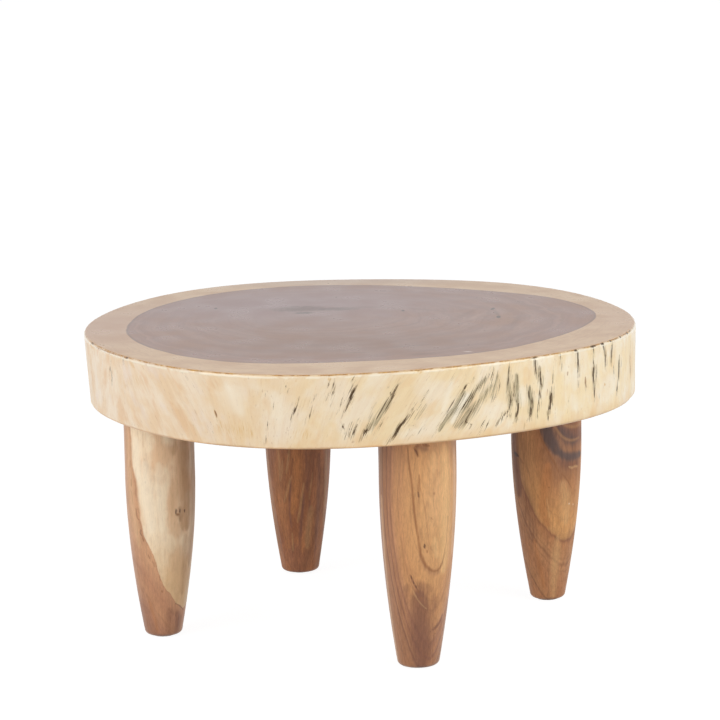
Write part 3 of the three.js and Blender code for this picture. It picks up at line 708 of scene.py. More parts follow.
class Shader:
    """The nodes of a material or a world, added by short calls; each call returns an output socket."""

    def __init__(self, owner):
        self.owner = owner
        owner.use_nodes = True
        self.tree = owner.node_tree
        self.tree.nodes.clear()

    def node(self, kind, inputs, **settings):
        made = self.tree.nodes.new(kind)
        for key, value in settings.items():
            setattr(made, key, value)
        for socket, value in inputs.items():
            if isinstance(value, bpy.types.NodeSocket):
                self.tree.links.new(value, made.inputs[socket])
            else:
                made.inputs[socket].default_value = value
        return made

    def attribute(self, name, output="Fac"):
        return self.node("ShaderNodeAttribute", {}, attribute_name=name).outputs[output]

    def math(self, operation, *values):
        return self.node("ShaderNodeMath", dict(enumerate(values)), operation=operation).outputs[0]

    def add(self, a, b):
        return self.math("ADD", a, b)

    def times(self, a, b):
        return self.math("MULTIPLY", a, b)

    def apart(self, value, middle):
        """How far a value is from a middle, either way."""
        return self.math("ABSOLUTE", self.add(value, -middle))

    def swing(self, noise, reach):
        """A noise of 0 to 1, whose middle becomes 0 and whose range becomes reach."""
        return self.times(self.add(noise, -0.5), reach)

    def steps(self, value, low, high, start=0.0, end=1.0):
        inputs = {"Value": value, "From Min": low, "From Max": high, "To Min": start, "To Max": end}
        return self.node("ShaderNodeMapRange", inputs, interpolation_type="SMOOTHSTEP").outputs["Result"]

    def vector(self, operation, *values, output="Vector"):
        made = self.node("ShaderNodeVectorMath", dict(enumerate(values)), operation=operation)
        return made.outputs[output]

    def scaled(self, vector, factors):
        return self.vector("MULTIPLY", vector, factors)

    def moved(self, vector, offset):
        return self.vector("ADD", vector, offset)

    def length(self, vector):
        return self.vector("LENGTH", vector, output="Value")

    def place(self, centre=(0, 0)):
        """The point's place in millimetres, from a centre given in the row frame."""
        place = self.node("ShaderNodeTexCoord", {}).outputs["Object"]
        return self.moved(self.scaled(place, (1 / MM, 1 / MM, 1 / MM)), (-centre[0], -centre[1], 0))

    def noise(self, vector, scale, detail=2, roughness=0.5, distortion=0):
        inputs = {"Vector": vector, "Scale": scale, "Detail": detail, "Roughness": roughness,
                  "Distortion": distortion}
        return self.node("ShaderNodeTexNoise", inputs).outputs[0]

    def streaks(self, vector, across, along, *character):
        """Noise at one frequency across the grain and another along it."""
        return self.noise(self.scaled(vector, (across, across, along)), 1, *character)

    def line_noise(self, value, scale, detail):
        inputs = {"W": value, "Scale": scale, "Detail": detail}
        return self.node("ShaderNodeTexNoise", inputs, noise_dimensions="1D").outputs[0]

    def blend(self, factor, a, b):
        return self.node("ShaderNodeMix", {0: factor, 2: a, 3: b}).outputs[0]

    def mix(self, factor, a, b):
        return self.node("ShaderNodeMix", {0: factor, 6: a, 7: b}, data_type="RGBA").outputs[2]

    def tint(self, base, value, low, high, most, *rgb):
        """The base colour, turned to another by most as a value goes from low to high."""
        return self.mix(self.steps(value, low, high, 0.0, most), base, colour(*rgb))

    def spot(self, place, centre, half_length, half_width, degrees):
        """1 at a centre, falling to 0 at the edge of an ellipse turned by degrees."""
        moved = self.moved(place, (-centre[0], -centre[1], 0))
        turned = self.node("ShaderNodeVectorRotate", {"Vector": moved, "Angle": math.radians(-degrees)},
                           rotation_type="Z_AXIS").outputs[0]
        shrunk = self.scaled(turned, (1 / half_length, 1 / half_width, 0))
        return self.steps(self.length(shrunk), 1.0, 0.0)

    def shades(self, base, place, table):
        """The base colour with soft spots over it: each ellipse, how strong it is and its colour."""
        for *ellipse, weight, rgb in table:
            base = self.mix(self.times(self.spot(place, *ellipse), weight), base, colour(*rgb))
        return base

    def bump(self, height, millimetres, strength=0.5):
        inputs = {"Height": height, "Distance": millimetres * MM, "Strength": strength}
        return self.node("ShaderNodeBump", inputs).outputs["Normal"]

    def output(self, surface, kind="ShaderNodeOutputMaterial"):
        self.node(kind, {"Surface": surface.outputs[0]})
        return self.owner

    def finish(self, base, roughness, normal, **own):
        """The surface shader; own holds values set on its sockets by name."""
        inputs = {"Base Color": base, "Roughness": roughness, "Normal": normal}
        inputs.update({key.replace("_", " "): value for key, value in own.items()})
        return self.output(self.node("ShaderNodeBsdfPrincipled", inputs))


def new_material(name):
    return Shader(bpy.data.materials.new(name))


# Stains other than ink: kind, how ragged, where they begin and are full, strength and colour
SOFT_STAINS = [
    (AMBER, 0.5, 0.2, 0.9, 0.7, (216, 170, 96)),
    (RUST, 0.5, 0.25, 0.8, 0.8, (150, 98, 60)),
    (GREY, 0.8, 0.1, 1.1, 0.85, (148, 138, 112)),
]

# Soft spots on the top: centre, half length, half width and turn, then strength and colour. The others are
# tints, streaks and knots of the wood; the far spot of each table is a painted reflection.
SAP_SPOTS_AND_PAINTED_REFLECTION = [
    ((-300, -150), 300, 190, 100, 0.8, (202, 160, 134)),
    ((320, 160), 200, 90, 120, 0.4, (206, 162, 134)),
    # Painted reflection: this far spot, greyer and darker, stands in for the top's grazing reflection there
    ((-170, 300), 330, 80, 28.6, 0.7, (200, 172, 156)),
]
HEART_SPOTS_AND_PAINTED_REFLECTION = [
    ((70, -150), 330, 150, 28.6, 0.6, (124, 80, 64)), ((-60, -60), 190, 90, 28.6, 0.3, (124, 80, 64)),
    # Painted reflection: the first spot on the next line, far on the top and bluer, stands in for the
    # reflection there
    ((-150, 90), 370, 240, 28.6, 0.95, (152, 121, 124)), ((-40, 110), 48, 7, 18, 0.5, (116, 84, 76)),
    ((42, 120), 54, 6, -3, 0.4, (120, 88, 78)), ((149, -128), 44, 6, 43, 0.65, (104, 70, 62)),
    ((188, -172), 34, 14, 38, 0.5, (110, 74, 66)), ((27, -168), 36, 5, 6, 0.5, (112, 76, 66)),
    ((108, -193), 26, 6, 20, 0.5, (112, 76, 66)), ((110, 105), 74, 8, 97, 0.4, (122, 86, 76)),
    ((130, 92), 62, 8, 95, 0.4, (178, 138, 122)), ((197, 78), 84, 8, 107, 0.4, (122, 86, 76)),
    ((214, 62), 70, 8, 104, 0.4, (176, 136, 122)), ((146, 128), 40, 4, 123, 0.5, (96, 64, 56)),
    ((235, -137), 9, 4, 20, 0.9, (236, 220, 210)),
]
PITH_SMUDGES = [
    ((-120, 64), 78, 50, 28.6, 0.6), ((-99, 38), 30, 13, 28.6, 1), ((-72, 82), 64, 28, 28.6, 0.6),
]
TOP_KNOTS = [
    ((160, 104), 14, 4.5, 118), ((125, 158), 13, 4, 105), ((-230, 26), 8, 3.5, 118),
    ((18, 102), 8, 3.5, 118),
]


# A warm tint of the slice's reflections
SLAB_SHEEN_TINT = (1.0, 0.84, 0.56, 1.0)


def sapwood_colour(s, grain, thread, fine, tone):
    """The pale sapwood of the side: whiter at the left, yellower at the right, streaked, and with painted
    shade where it faces between the lamps.
    """
    patches = s.streaks(grain, 0.026, 0.022, 4, 0.6)
    tints = s.streaks(s.moved(grain, (400, 0, 0)), 0.035, 0.02, 3, 0.6)
    left = s.mix(s.steps(patches, 0.36, 0.64), colour(237, 208, 174), colour(246, 228, 205))
    left = s.tint(left, tints, 0.53, 0.68, 0.7, 230, 190, 150)
    left = s.tint(left, tints, 0.46, 0.34, 0.5, 238, 222, 212)
    right = s.mix(s.steps(patches, 0.36, 0.64), colour(248, 227, 185), colour(252, 241, 218))
    right = s.tint(right, tints, 0.55, 0.68, 0.6, 242, 211, 164)
    sap = s.mix(tone, left, right)
    # Painted shade: the side turns darker and warmer by direction, where the lamps light it less
    sap = s.mix(s.times(s.attribute("painted_shade"), 0.3), sap, colour(220, 190, 150))
    sap = s.tint(sap, s.streaks(grain, 0.11, 0.018, 3), 0.4, 0.66, 0.17, 226, 190, 150)
    sap = s.tint(sap, thread, 0.54, 0.72, 0.22, 206, 166, 124)
    sap = s.tint(sap, thread, 0.45, 0.3, 0.2, 250, 236, 212)
    sap = s.tint(sap, fine, 0.56, 0.75, 0.15, 206, 170, 132)
    return s.tint(sap, s.streaks(grain, 0.55, 0.12, 2, 0.6), 0.66, 0.74, 0.4, 168, 128, 92)


def stain(s, sap, ragged, hairs):
    """The sapwood with its stains along the fibres, and how inky each place is."""
    sap = s.mix(s.times(s.attribute(PALE), 0.8), sap, colour(250, 241, 222))
    for kind, weight, low, high, strength, rgb in SOFT_STAINS:
        held = s.attribute(kind)
        cover = s.steps(s.add(held, s.times(ragged, weight)), low, high, 0.0, strength)
        sap = s.mix(s.times(cover, s.steps(held, 0.03, 0.25)), sap, colour(*rgb))
    hair = s.times(s.steps(hairs, 0.54, 0.64), s.steps(s.attribute(GREY), 0.25, 0.75, 0.0, 0.7))
    sap = s.mix(hair, sap, colour(76, 62, 40))
    spray = s.attribute(SPRAY)
    cover = s.steps(s.add(s.times(spray, 0.75), ragged), 0.4, 0.9, 0.0, 0.62)
    sap = s.mix(s.times(cover, s.steps(spray, 0.04, 0.4)), sap, colour(104, 84, 52))
    stained = s.attribute(INK)
    ink = s.times(s.steps(s.add(stained, ragged), 0.32, 0.85, 0.0, 0.93), s.steps(stained, 0.06, 0.35))
    return s.mix(ink, sap, colour(50, 22, 0)), ink


def heart_colour(s, place, flat, fine_rings, wide_rings, clouds):
    """The brown heartwood, with rings round the pith, soft spots, the far bluer one a painted reflection,
    smudges at the pith and knots.
    """
    heart = s.mix(s.steps(wide_rings, 0.3, 0.7), colour(147, 104, 95), colour(161, 119, 107))
    heart = s.tint(heart, fine_rings, 0.4, 0.7, 0.35, 120, 80, 64)
    heart = s.tint(heart, clouds, 0.4, 0.7, 0.5, 166, 122, 96)
    heart = s.shades(heart, flat, HEART_SPOTS_AND_PAINTED_REFLECTION)
    smudge = s.streaks(place, 0.12, 0.02, 4, 0.7)
    for *ellipse, weight in PITH_SMUDGES:
        heart = s.tint(heart, s.times(s.spot(flat, *ellipse), smudge), 0.16, 0.46, weight, 76, 48, 46)
    for ellipse in TOP_KNOTS:
        heart = s.tint(heart, s.spot(flat, *ellipse), 0.1, 0.5, 0.9, 46, 30, 24)
    return heart


def rim_colour(s, wood, grain, past_rim, ragged, worn):
    """The wood with the rim's pale edge, partly a painted highlight, its burnished line and its nicks."""
    chipped = s.streaks(grain, 0.35, 0.35, 3, 0.7)
    reach = s.add(s.apart(past_rim, -0.6), s.times(chipped, 1.6))
    line = s.times(s.steps(reach, 3.0, 1.2), s.steps(worn, 0.42, 0.56, 0.12, 1.0))
    burnished = s.mix(s.steps(chipped, 0.4, 0.6), colour(212, 162, 90), colour(170, 114, 62))
    # A near-white band just under the rim: partly the pale worn edge, partly a painted highlight where the
    # lamps catch the rounding
    pale_edge_and_highlight = s.steps(s.apart(past_rim, 3.2), 1.8, 0.6, 0.0, 0.6)
    wood = s.mix(s.times(pale_edge_and_highlight, s.steps(worn, 0.62, 0.5)), wood, colour(255, 246, 226))
    wood = s.mix(line, wood, burnished)
    nick = s.times(s.attribute("nick"), s.steps(s.math("ABSOLUTE", past_rim), 3.4, 1.0))
    chip = s.times(s.steps(s.add(nick, s.times(ragged, 0.5)), 0.3, 0.8, 0.0, 0.9), s.steps(nick, 0.05, 0.3))
    return s.mix(chip, wood, colour(70, 46, 30))


def end_grain_colour(s, flat, fine_rings, clouds):
    """The sapwood on the top, darker and with the rings too, and with soft spots, the far greyer one a
    painted reflection.
    """
    end_grain = s.mix(s.steps(clouds, 0.4, 0.65), colour(230, 192, 150), colour(218, 178, 140))
    end_grain = s.tint(end_grain, fine_rings, 0.4, 0.7, 0.3, 196, 152, 114)
    return s.shades(end_grain, flat, SAP_SPOTS_AND_PAINTED_REFLECTION)


def bottom_colour(s, wood, side, tone, worn):
    """The wood with a warm band low on the side and a line along the bottom edge."""
    rise = s.attribute("rise")
    low = s.steps(s.add(rise, s.times(worn, 24.0)), 30.0, 12.0, 0.0, 0.5)
    wood = s.mix(s.times(s.times(low, side), tone), wood, colour(232, 192, 138))
    low = s.steps(s.add(rise, s.times(worn, 3.0)), 5.0, 2.0, 0.0, 0.7)
    return s.mix(s.times(low, side), wood, colour(210, 158, 106))


def slab_relief(s, fine, thread, ink, face, past_rim):
    """The fine relief of the fibres on the side."""
    height = s.add(s.add(s.times(fine, 0.5), s.times(thread, 0.8)), s.times(ink, -0.35))
    height = s.times(height, s.steps(face, 0.0, 1.0, 1.0, 0.0))
    return s.bump(s.times(height, s.steps(past_rim, 3.0, 8.0, 0.2, 1.0)), 0.22)


def slab_roughness(s, thread, clouds, upward, past_rim):
    """How matt each finish is: the side, the sanded top and the burnished rim."""
    side_rough = s.steps(thread, 0.3, 0.75, 0.34, 0.46)
    top_rough = s.steps(clouds, 0.3, 0.7, 0.27, 0.33)
    rough = s.blend(s.steps(upward, 0.7, 0.95), side_rough, top_rough)
    return s.blend(s.steps(s.apart(past_rim, 1.5), 4.0, 2.5), rough, 0.12)


def trunk_material():
    s = new_material("trunk_slice_wood")
    grain = s.attribute("grain", "Vector")
    tone = s.attribute("tone")
    place = s.place(SLAB_CENTRE)
    flat = s.scaled(place, (1, 1, 0))
    thread = s.streaks(grain, 0.42, 0.042, 4, 0.65)
    fine = s.streaks(grain, 1.4, 0.12, 2, 0.6)
    hairs = s.streaks(grain, 0.85, 0.06, 3, 0.6)
    ragged = s.add(s.swing(thread, 1.6), s.swing(hairs, 2.4))
    sap, ink = stain(s, sapwood_colour(s, grain, thread, fine, tone), ragged, hairs)

    # Rings round the pith, which wander and tremble
    wander = s.streaks(place, 0.012, 0.004, 2)
    reach = s.length(s.moved(flat, (-PITH[0], -PITH[1], 0)))
    tremble = s.times(s.streaks(place, 0.06, 0.01, 3), 16.0)
    ring = s.add(s.add(s.times(reach, s.attribute("ring_stretch")), s.swing(wander, 40.0)), tremble)
    wide_rings = s.line_noise(ring, 0.06, 1.0)
    fine_rings = s.line_noise(ring, 0.25, 1.0)
    clouds = s.streaks(place, 0.02, 0.01, 4)
    heart = heart_colour(s, place, flat, fine_rings, wide_rings, clouds)

    # The side and the top
    normal = s.node("ShaderNodeNewGeometry", {}).outputs["Normal"]
    upward = s.node("ShaderNodeSeparateXYZ", {0: normal}).outputs["Z"]
    face = s.steps(s.math("ABSOLUTE", upward), 0.7, 0.95)
    side = s.math("SUBTRACT", 1.0, face)
    sap = s.mix(face, sap, end_grain_colour(s, flat, fine_rings, clouds))

    # The border of the heartwood
    edge = s.add(s.attribute("heart"), s.swing(wander, 8.0))
    in_heart = s.steps(edge, -0.8, 1.6)
    boundary = s.steps(s.apart(edge, 1.5), 3.5, 0.0, 0.0, 0.45)
    wood = s.mix(in_heart, sap, heart)
    wood = s.mix(s.times(boundary, in_heart), wood, colour(92, 66, 62))

    # The rim and the bottom edge
    past_rim = s.attribute("past_rim")
    worn = s.streaks(grain, 0.05, 0.05, 4, 0.65)
    wood = rim_colour(s, wood, grain, past_rim, ragged, worn)
    wood = bottom_colour(s, wood, side, tone, worn)
    rough = slab_roughness(s, thread, clouds, upward, past_rim)
    relief = slab_relief(s, fine, thread, ink, face, past_rim)
    return s.finish(wood, rough, relief, IOR=1.5, Specular_Tint=SLAB_SHEEN_TINT)


# The turned legs

LINE, VEIN, SHADE, CHAR = "line", "vein", "shade", "char"
GOLD, CREAM, TAN, ORANGE, BUFF = "gold", "cream", "tan", "orange", "buff"
LEG_KINDS = [BUFF, SHADE, ORANGE, CHAR, TAN, GOLD, CREAM, VEIN, LINE]

# Each kind's colour and weight, and how sharply it ends, 0 to 1
LEG_TINTS = {
    TAN: ((182, 136, 94), 0.75, 0), BUFF: ((222, 180, 140), 0.8, 0.1), SHADE: ((122, 80, 62), 0.85, 0),
    ORANGE: ((190, 128, 82), 0.75, 0), CHAR: ((82, 64, 60), 0.92, 0.7), GOLD: ((238, 194, 140), 0.75, 0.2),
    CREAM: ((254, 236, 208), 0.85, 0.2), VEIN: ((150, 100, 64), 0.85, 0.3), LINE: ((84, 50, 34), 0.85, 0.7),
}

# Marks on the legs, by kind: half width, strength, then each point's direction from the leg's axis
# and height above the floor
LEG_MARKS = {
    "front_left": {
        BUFF: [(9, 0.8, 238, 295, 242, 220, 248, 170, 257, 128), (8, 0.5, 322, 235, 322, 170)],
        CREAM: [
            (8, 0.9, 260, 272, 262, 240, 268, 214), (13, 0.9, 276, 240, 280, 185, 284, 150),
            (9, 0.6, 300, 240, 299, 190, 303, 150),
        ],
        TAN: [
            # The second stroke, a darker band across the top of the leg just under the slice, is painted
            # shade
            (4, 0.3, 274, 285, 275, 262), (10, 0.5, 272, 298, 300, 298), (9, 0.6, 326, 290, 326, 252),
            (14, 0.9, 346, 285, 350, 223, 354, 150), (8, 0.6, 338, 180, 342, 150),
            (13, 0.8, 13, 290, 12, 173, 8, 100), (7, 0.6, 350, 140, 350, 60),
        ],
        GOLD: [(10, 0.3, 314, 116, 313, 81)],
        LINE: [
            (1.6, 1, 329, 178, 328, 171), (1.5, 0.9, 336, 176, 335, 172), (1.6, 1, 346, 175, 346, 172),
            (1.2, 0.7, 264, 150, 262, 145, 266, 142), (1.4, 0.6, 333, 48, 346, 43, 7, 34),
        ],
        VEIN: [
            (2.2, 1, 328, 171, 334, 169), (1.1, 0.6, 337, 168, 336, 160), (1.3, 0.8, 245, 243, 244, 231),
            (1.2, 0.7, 246, 216, 246, 208), (1.1, 0.5, 246, 200, 249, 182),
            (1.3, 0.8, 256, 178, 257, 167, 261, 163), (1.3, 0.8, 266, 141, 269, 134),
            (1.2, 0.7, 275, 118, 279, 110), (1.1, 0.6, 283, 110, 287, 100), (1.3, 0.8, 300, 68, 300, 65),
        ],
        SHADE: [
            (7, 0.45, 334, 178, 338, 162), (9, 0.3, 252, 70, 250, 45, 212, 17),
            (8, 0.7, 340, 34, 345, 20, 345, 4), (10, 0.5, 318, 40, 318, 6),
        ],
        ORANGE: [(4, 0.5, 268, 52, 276, 31, 284, 10)],
    },
    "front_right": {
        TAN: [(7, 0.4, 229, 285, 228, 240), (6, 0.5, 322, 248, 318, 230)],
        # Painted highlight: the two light strips down the leg's left and right edges stand in for the sheen
        # at grazing angles
        BUFF: [(5, 0.7, 228, 225, 226, 120, 224, 10), (7, 0.9, 8, 285, 10, 220, 10, 150)],
        GOLD: [
            (12, 0.8, 342, 290, 345, 242, 346, 160, 345, 130), (7, 0.5, 322, 285, 322, 262),
            (7, 0.6, 325, 175, 330, 150), (1.4, 0.5, 287, 110, 294, 98, 306, 87, 315, 82),
        ],
        VEIN: [
            (2.4, 0.9, 293, 293, 297, 287, 299, 281), (2.2, 0.8, 295, 294, 302, 296),
            (2.4, 0.9, 306, 296, 316, 294), (1.5, 0.8, 300, 258, 299, 246, 298, 236),
            (1.3, 0.8, 323, 235, 323, 231), (1.5, 0.5, 317, 254, 317, 249), (1.6, 0.6, 318, 202, 321, 199),
            (1.4, 0.9, 312, 160, 312, 157),
            (1.8, 0.9, 283, 297, 285, 273, 288, 256, 291, 225, 294, 198, 298, 177, 301, 160),
            (2.4, 0.8, 297, 184, 299, 167, 304, 149, 314, 136, 326, 131, 336, 133, 342, 142),
            (1.8, 0.6, 336, 133, 343, 144, 347, 158, 349, 177, 350, 200),
            (1.6, 0.5, 302, 240, 309, 214, 312, 190, 314, 172, 320, 159), (1.2, 0.9, 297, 108, 299, 104),
            (1.2, 0.9, 302, 99, 305, 96),
        ],
        LINE: [
            (1.3, 0.7, 294, 291, 297, 286, 299, 282), (1.3, 0.7, 309, 296, 314, 295),
            (1.4, 0.8, 298, 236, 299, 229), (1.7, 1, 308, 168, 308, 164), (1.2, 0.8, 285, 128, 287, 123),
            (1.2, 0.85, 289, 120, 291, 116), (1.2, 0.8, 293, 115, 294, 111),
        ],
        SHADE: [
            (5, 0.45, 301, 156, 309, 138, 324, 127, 338, 130), (7, 0.6, 298, 294, 312, 290),
            (9, 0.4, 276, 75, 280, 40), (9, 0.35, 262, 110, 258, 50, 262, 6),
            (4, 0.3, 297, 245, 299, 205, 302, 172),
            (1.8, 0.8, 284, 129, 290, 118, 298, 106, 304, 97, 313, 93), (15, 0.65, 303, 116, 306, 96),
            (18, 1, 300, 104, 303, 70, 306, 6), (9, 0.5, 326, 100, 328, 84, 326, 60),
            (7, 0.5, 278, 115, 276, 90), (8, 0.6, 326, 62, 316, 20), (3, 0.9, 356, 71, 344, 58, 324, 52),
            (1.5, 0.6, 358, 70, 348, 53, 332, 45, 312, 44, 294, 48),
        ],
    },
    "back_left": {
        ORANGE: [
            (6, 1, 300, 170, 299, 146, 297, 126, 290, 109, 285, 92), (8, 0.7, 294, 186, 296, 150),
            (9, 0.6, 262, 186, 256, 140, 262, 90, 268, 40), (4, 0.5, 304, 56, 306, 33),
        ],
        TAN: [
            (2.2, 1, 309, 136, 306, 122, 303, 108, 300, 94, 295, 78),
            (2, 0.9, 287, 147, 281, 136, 277, 125, 268, 107), (2.2, 0.9, 284, 184, 279, 160, 276, 150),
            (1.8, 0.8, 270, 168, 268, 150, 264, 138), (1.8, 0.8, 282, 63, 281, 35),
            (2.4, 0.9, 262, 184, 264, 160, 262, 140), (1.6, 0.7, 326, 150, 322, 128, 320, 112),
            (6, 0.9, 325, 100, 319, 65, 318, 40), (4, 0.8, 358, 186, 2, 120, 6, 68),
            (7, 0.6, 228, 180, 228, 20),
        ],
        LINE: [
            (1.4, 0.6, 290, 172, 287, 155, 283, 142), (1.3, 0.6, 304, 150, 301, 128, 297, 112),
            (1.2, 0.5, 280, 150, 276, 138, 271, 122),
        ],
        SHADE: [
            (2.2, 0.9, 285, 140, 281, 118, 279, 96, 281, 70), (3, 0.9, 309, 120, 306, 96, 302, 70, 300, 40),
            (6, 0.5, 313, 186, 317, 146, 315, 124), (5, 0.6, 340, 175, 342, 109, 342, 20),
            (24, 0.6, 290, 40, 292, 6), (3, 0.7, 322, 110, 319, 80, 317, 40),
        ],
    },
    "back_right": {
        SHADE: [
            # The first stroke is partly a brown strip of the wood and partly painted shade on the leg's left
            # side, which the front leg and the slice shade
            (15, 1, 227, 270, 232, 201, 237, 151), (19, 0.5, 250, 245, 252, 180, 256, 130, 262, 90),
            (10, 0.3, 300, 150, 302, 95), (5, 0.7, 244, 202, 252, 196), (7, 0.35, 346, 110, 350, 40),
            (6, 0.35, 290, 100, 300, 50, 296, 10), (8, 0.3, 262, 268, 268, 240),
            (17, 1, 318, 248, 338, 234, 20, 230), (9, 0.7, 318, 200, 338, 192, 2, 192),
        ],
        CHAR: [
            (4, 0.8, 229, 207, 240, 204), (11, 1, 292, 256, 297, 238, 305, 223, 314, 213),
            (8, 0.85, 310, 216, 326, 206, 340, 203, 356, 203, 374, 203),
            (5, 0.7, 290, 262, 298, 247, 306, 238), (13, 0.65, 318, 244, 336, 228, 354, 224),
        ],
        LINE: [(2.2, 0.9, 236, 206, 243, 203)],
        VEIN: [
            (1.5, 1, 299, 165, 299, 163), (2, 0.7, 355, 156, 355, 153),
            (1.8, 0.9, 282, 244, 287, 232, 297, 214, 308, 199, 316, 184),
            (1.6, 0.6, 322, 182, 334, 171, 345, 158),
        ],
        CREAM: [(1.6, 0.9, 340, 139, 340, 137), (1.5, 0.9, 351, 136, 351, 134)],
        ORANGE: [
            (9, 0.8, 298, 196, 293, 170, 288, 141, 288, 123, 297, 111), (5, 0.6, 268, 90, 276, 50, 286, 20),
        ],
        GOLD: [
            (1.5, 0.5, 295, 150, 298, 135, 300, 121), (13, 0.5, 325, 168, 334, 140, 334, 112),
            (9, 0.5, 318, 92, 312, 40, 314, 8), (2.6, 0.55, 336, 190, 344, 187, 350, 189, 360, 187),
        ],
        TAN: [
            (3, 0.75, 310, 262, 320, 252, 332, 246, 350, 243, 368, 244),
            (2.6, 0.7, 308, 250, 318, 236, 330, 228, 345, 225, 366, 227),
        ],
    },
}

# Growth rings of the legs. The pith's line passes an offset from the leg's axis at RINGS_HEIGHT, and
# drifts sideways for each unit of height; rings lists colours by distance from the pith.
RINGS_HEIGHT = 150
LEG_RINGS = {
    "front_left": {
        "pith": (-3.1, -4.4), "drift": (0.02, -0.02), "wobble": 2.5,
        "bands": 0.14, "grain": 0.5, "gloss": 0.04,
        "rings": [
            (10, 160, 112, 86), (19, 174, 126, 100), (23, 160, 114, 88), (27, 172, 124, 97),
            (31, 194, 144, 110), (34, 188, 138, 107), (38, 212, 164, 128), (42, 202, 154, 118),
            (50, 212, 164, 126),
        ],
    },
    "front_right": {
        "pith": (-20.1, 14.3), "drift": (0.015, -0.021), "wobble": 0.7,
        "bands": 0.26, "grain": 0.62, "gloss": 0.04,
        "rings": [
            (10, 164, 116, 88), (34, 176, 127, 92), (45, 170, 120, 86), (52.4, 170, 121, 88),
            (53.1, 134, 92, 70), (53.8, 180, 130, 95), (55.9, 174, 123, 90), (56.5, 140, 96, 74),
            (57.2, 188, 135, 98), (59, 170, 121, 92), (60.2, 198, 145, 106), (63, 202, 149, 104),
            (64.2, 198, 145, 102), (66, 208, 155, 108), (70.2, 212, 162, 114), (71.8, 224, 176, 128),
        ],
    },
    "back_left": {
        "pith": (10, 26), "drift": (0.01, 0.03), "wobble": 2.5,
        "bands": 0.2, "grain": 1.05, "gloss": -0.06,
        "rings": [
            (10, 164, 105, 67), (20, 180, 119, 78), (28, 150, 96, 60), (36, 175, 114, 74),
            (44, 150, 97, 62), (52, 178, 118, 80), (58, 146, 92, 60), (66, 168, 111, 72), (74, 148, 94, 60),
        ],
    },
    "back_right": {
        "pith": (-7.9, 3.8), "drift": (0.014, 0.008), "wobble": 0.35,
        "bands": 0.22, "grain": 0.72, "gloss": -0.1,
        "rings": [
            (8, 180, 130, 92), (20, 188, 136, 98), (29.5, 184, 130, 92), (30.1, 150, 106, 76),
            (30.7, 188, 136, 96), (36.5, 184, 130, 92), (41.2, 192, 140, 100), (41.8, 164, 116, 82),
            (42.4, 198, 146, 104), (45.8, 184, 130, 90), (46.4, 150, 102, 72), (47, 222, 168, 114),
            (49, 216, 160, 106), (51.5, 200, 146, 98), (53.3, 184, 130, 88), (54.4, 158, 110, 76),
            (55.4, 156, 112, 82),
        ],
    },
}

# How each leg was carved: its twist, its number of facets and their depth
LEG_CARVING = {
    "front_left": (0.4, 14, 0.12),
    "front_right": (0.2, 16, 0.08),
    "back_left": (0.7, 12, 0.5),
    "back_right": (-0.3, 14, 0.15),
}
CARVED_SWELL = 0.22
CARVED_SWELL_WAVES = ((2, 5), 3)
CARVED_SWELL_HEIGHT = 60
CARVED_RIPPLE = 0.05
CARVED_RIPPLE_WAVES = ((20, 60), 6)
CARVED_FADE_FOOT, CARVED_FADE_TOP = 12, 6
FACET_SHARPNESS = 1.5
FACET_MEAN = 0.6

# Where the front left leg's sapwood ends, as (direction, height); above it the leg is pale
SAPWOOD_LEG = "front_left"
SAPWOOD_FOOT = [
    (150, 400), (200, 380), (238, 330), (248, 282), (251, 234), (260, 217), (264, 166), (270, 146),
    (286, 113), (303, 75), (319, 61), (335, 48), (362, 37), (392, 47), (400, 120), (430, 300),
]
SAPWOOD_NONE = -100
SAPWOOD_ROUND = 42
LEG_SATURATION = 1.05


def leg_profile(place, height):
    """A leg's turned radius at a height over its underside."""
    top_share, straight_share, foot_share, _ = LEG_SHARES[place]
    top_radius = LEG_TOP_RADIUS * top_share
    curve_top = LEG_LENGTH - LEG_STRAIGHT * straight_share
    way = np.clip(1 - height / curve_top, 0, 1)
    return top_radius - (top_radius - LEG_FOOT_RADIUS * foot_share) * way ** LEG_CURVE_POWER


def leg_drift(place, height):
    """How far a leg's axis stands from the bolt's, as (x, y), at heights over its underside."""
    reach = LEG_FOOT_DRIFT * LEG_SHARES[place][3] * np.clip(1 - height / LEG_HOLE_FLOOR, 0, 1)
    turn = math.radians(LEG_FOOT_DRIFT_DIRECTION)
    return np.stack([reach * math.cos(turn), reach * math.sin(turn)], -1)


def leg_rows():
    """Heights over the leg's underside and insets of the foot's rounding, from the flat up."""
    rows = [(LEG_FOOT_ROUND * (1 - math.cos(turn)), LEG_FOOT_ROUND * (1 - math.sin(turn)))
            for turn in np.linspace(0, math.pi / 2, FOOT_STEPS + 1)]
    rows += [(height, 0) for height in np.linspace(LEG_FOOT_ROUND, LEG_LENGTH, LEG_STEPS)[1:]]
    return np.array(rows).T[..., None]


def carved(place, angle, height):
    """How far the hand left the surface from the turned form."""
    twist, facet_count, facet_depth = LEG_CARVING[place]
    drift = angle + twist * height / LEG_LENGTH
    gentle = CARVED_SWELL * waves(angle, *CARVED_SWELL_WAVES) * np.cos(height / CARVED_SWELL_HEIGHT + twist)
    ripple = CARVED_RIPPLE * waves(drift, *CARVED_RIPPLE_WAVES)
    facets = np.abs(np.sin(facet_count / 2 * drift)) ** FACET_SHARPNESS
    return gentle + ripple + facet_depth * (facets - FACET_MEAN)


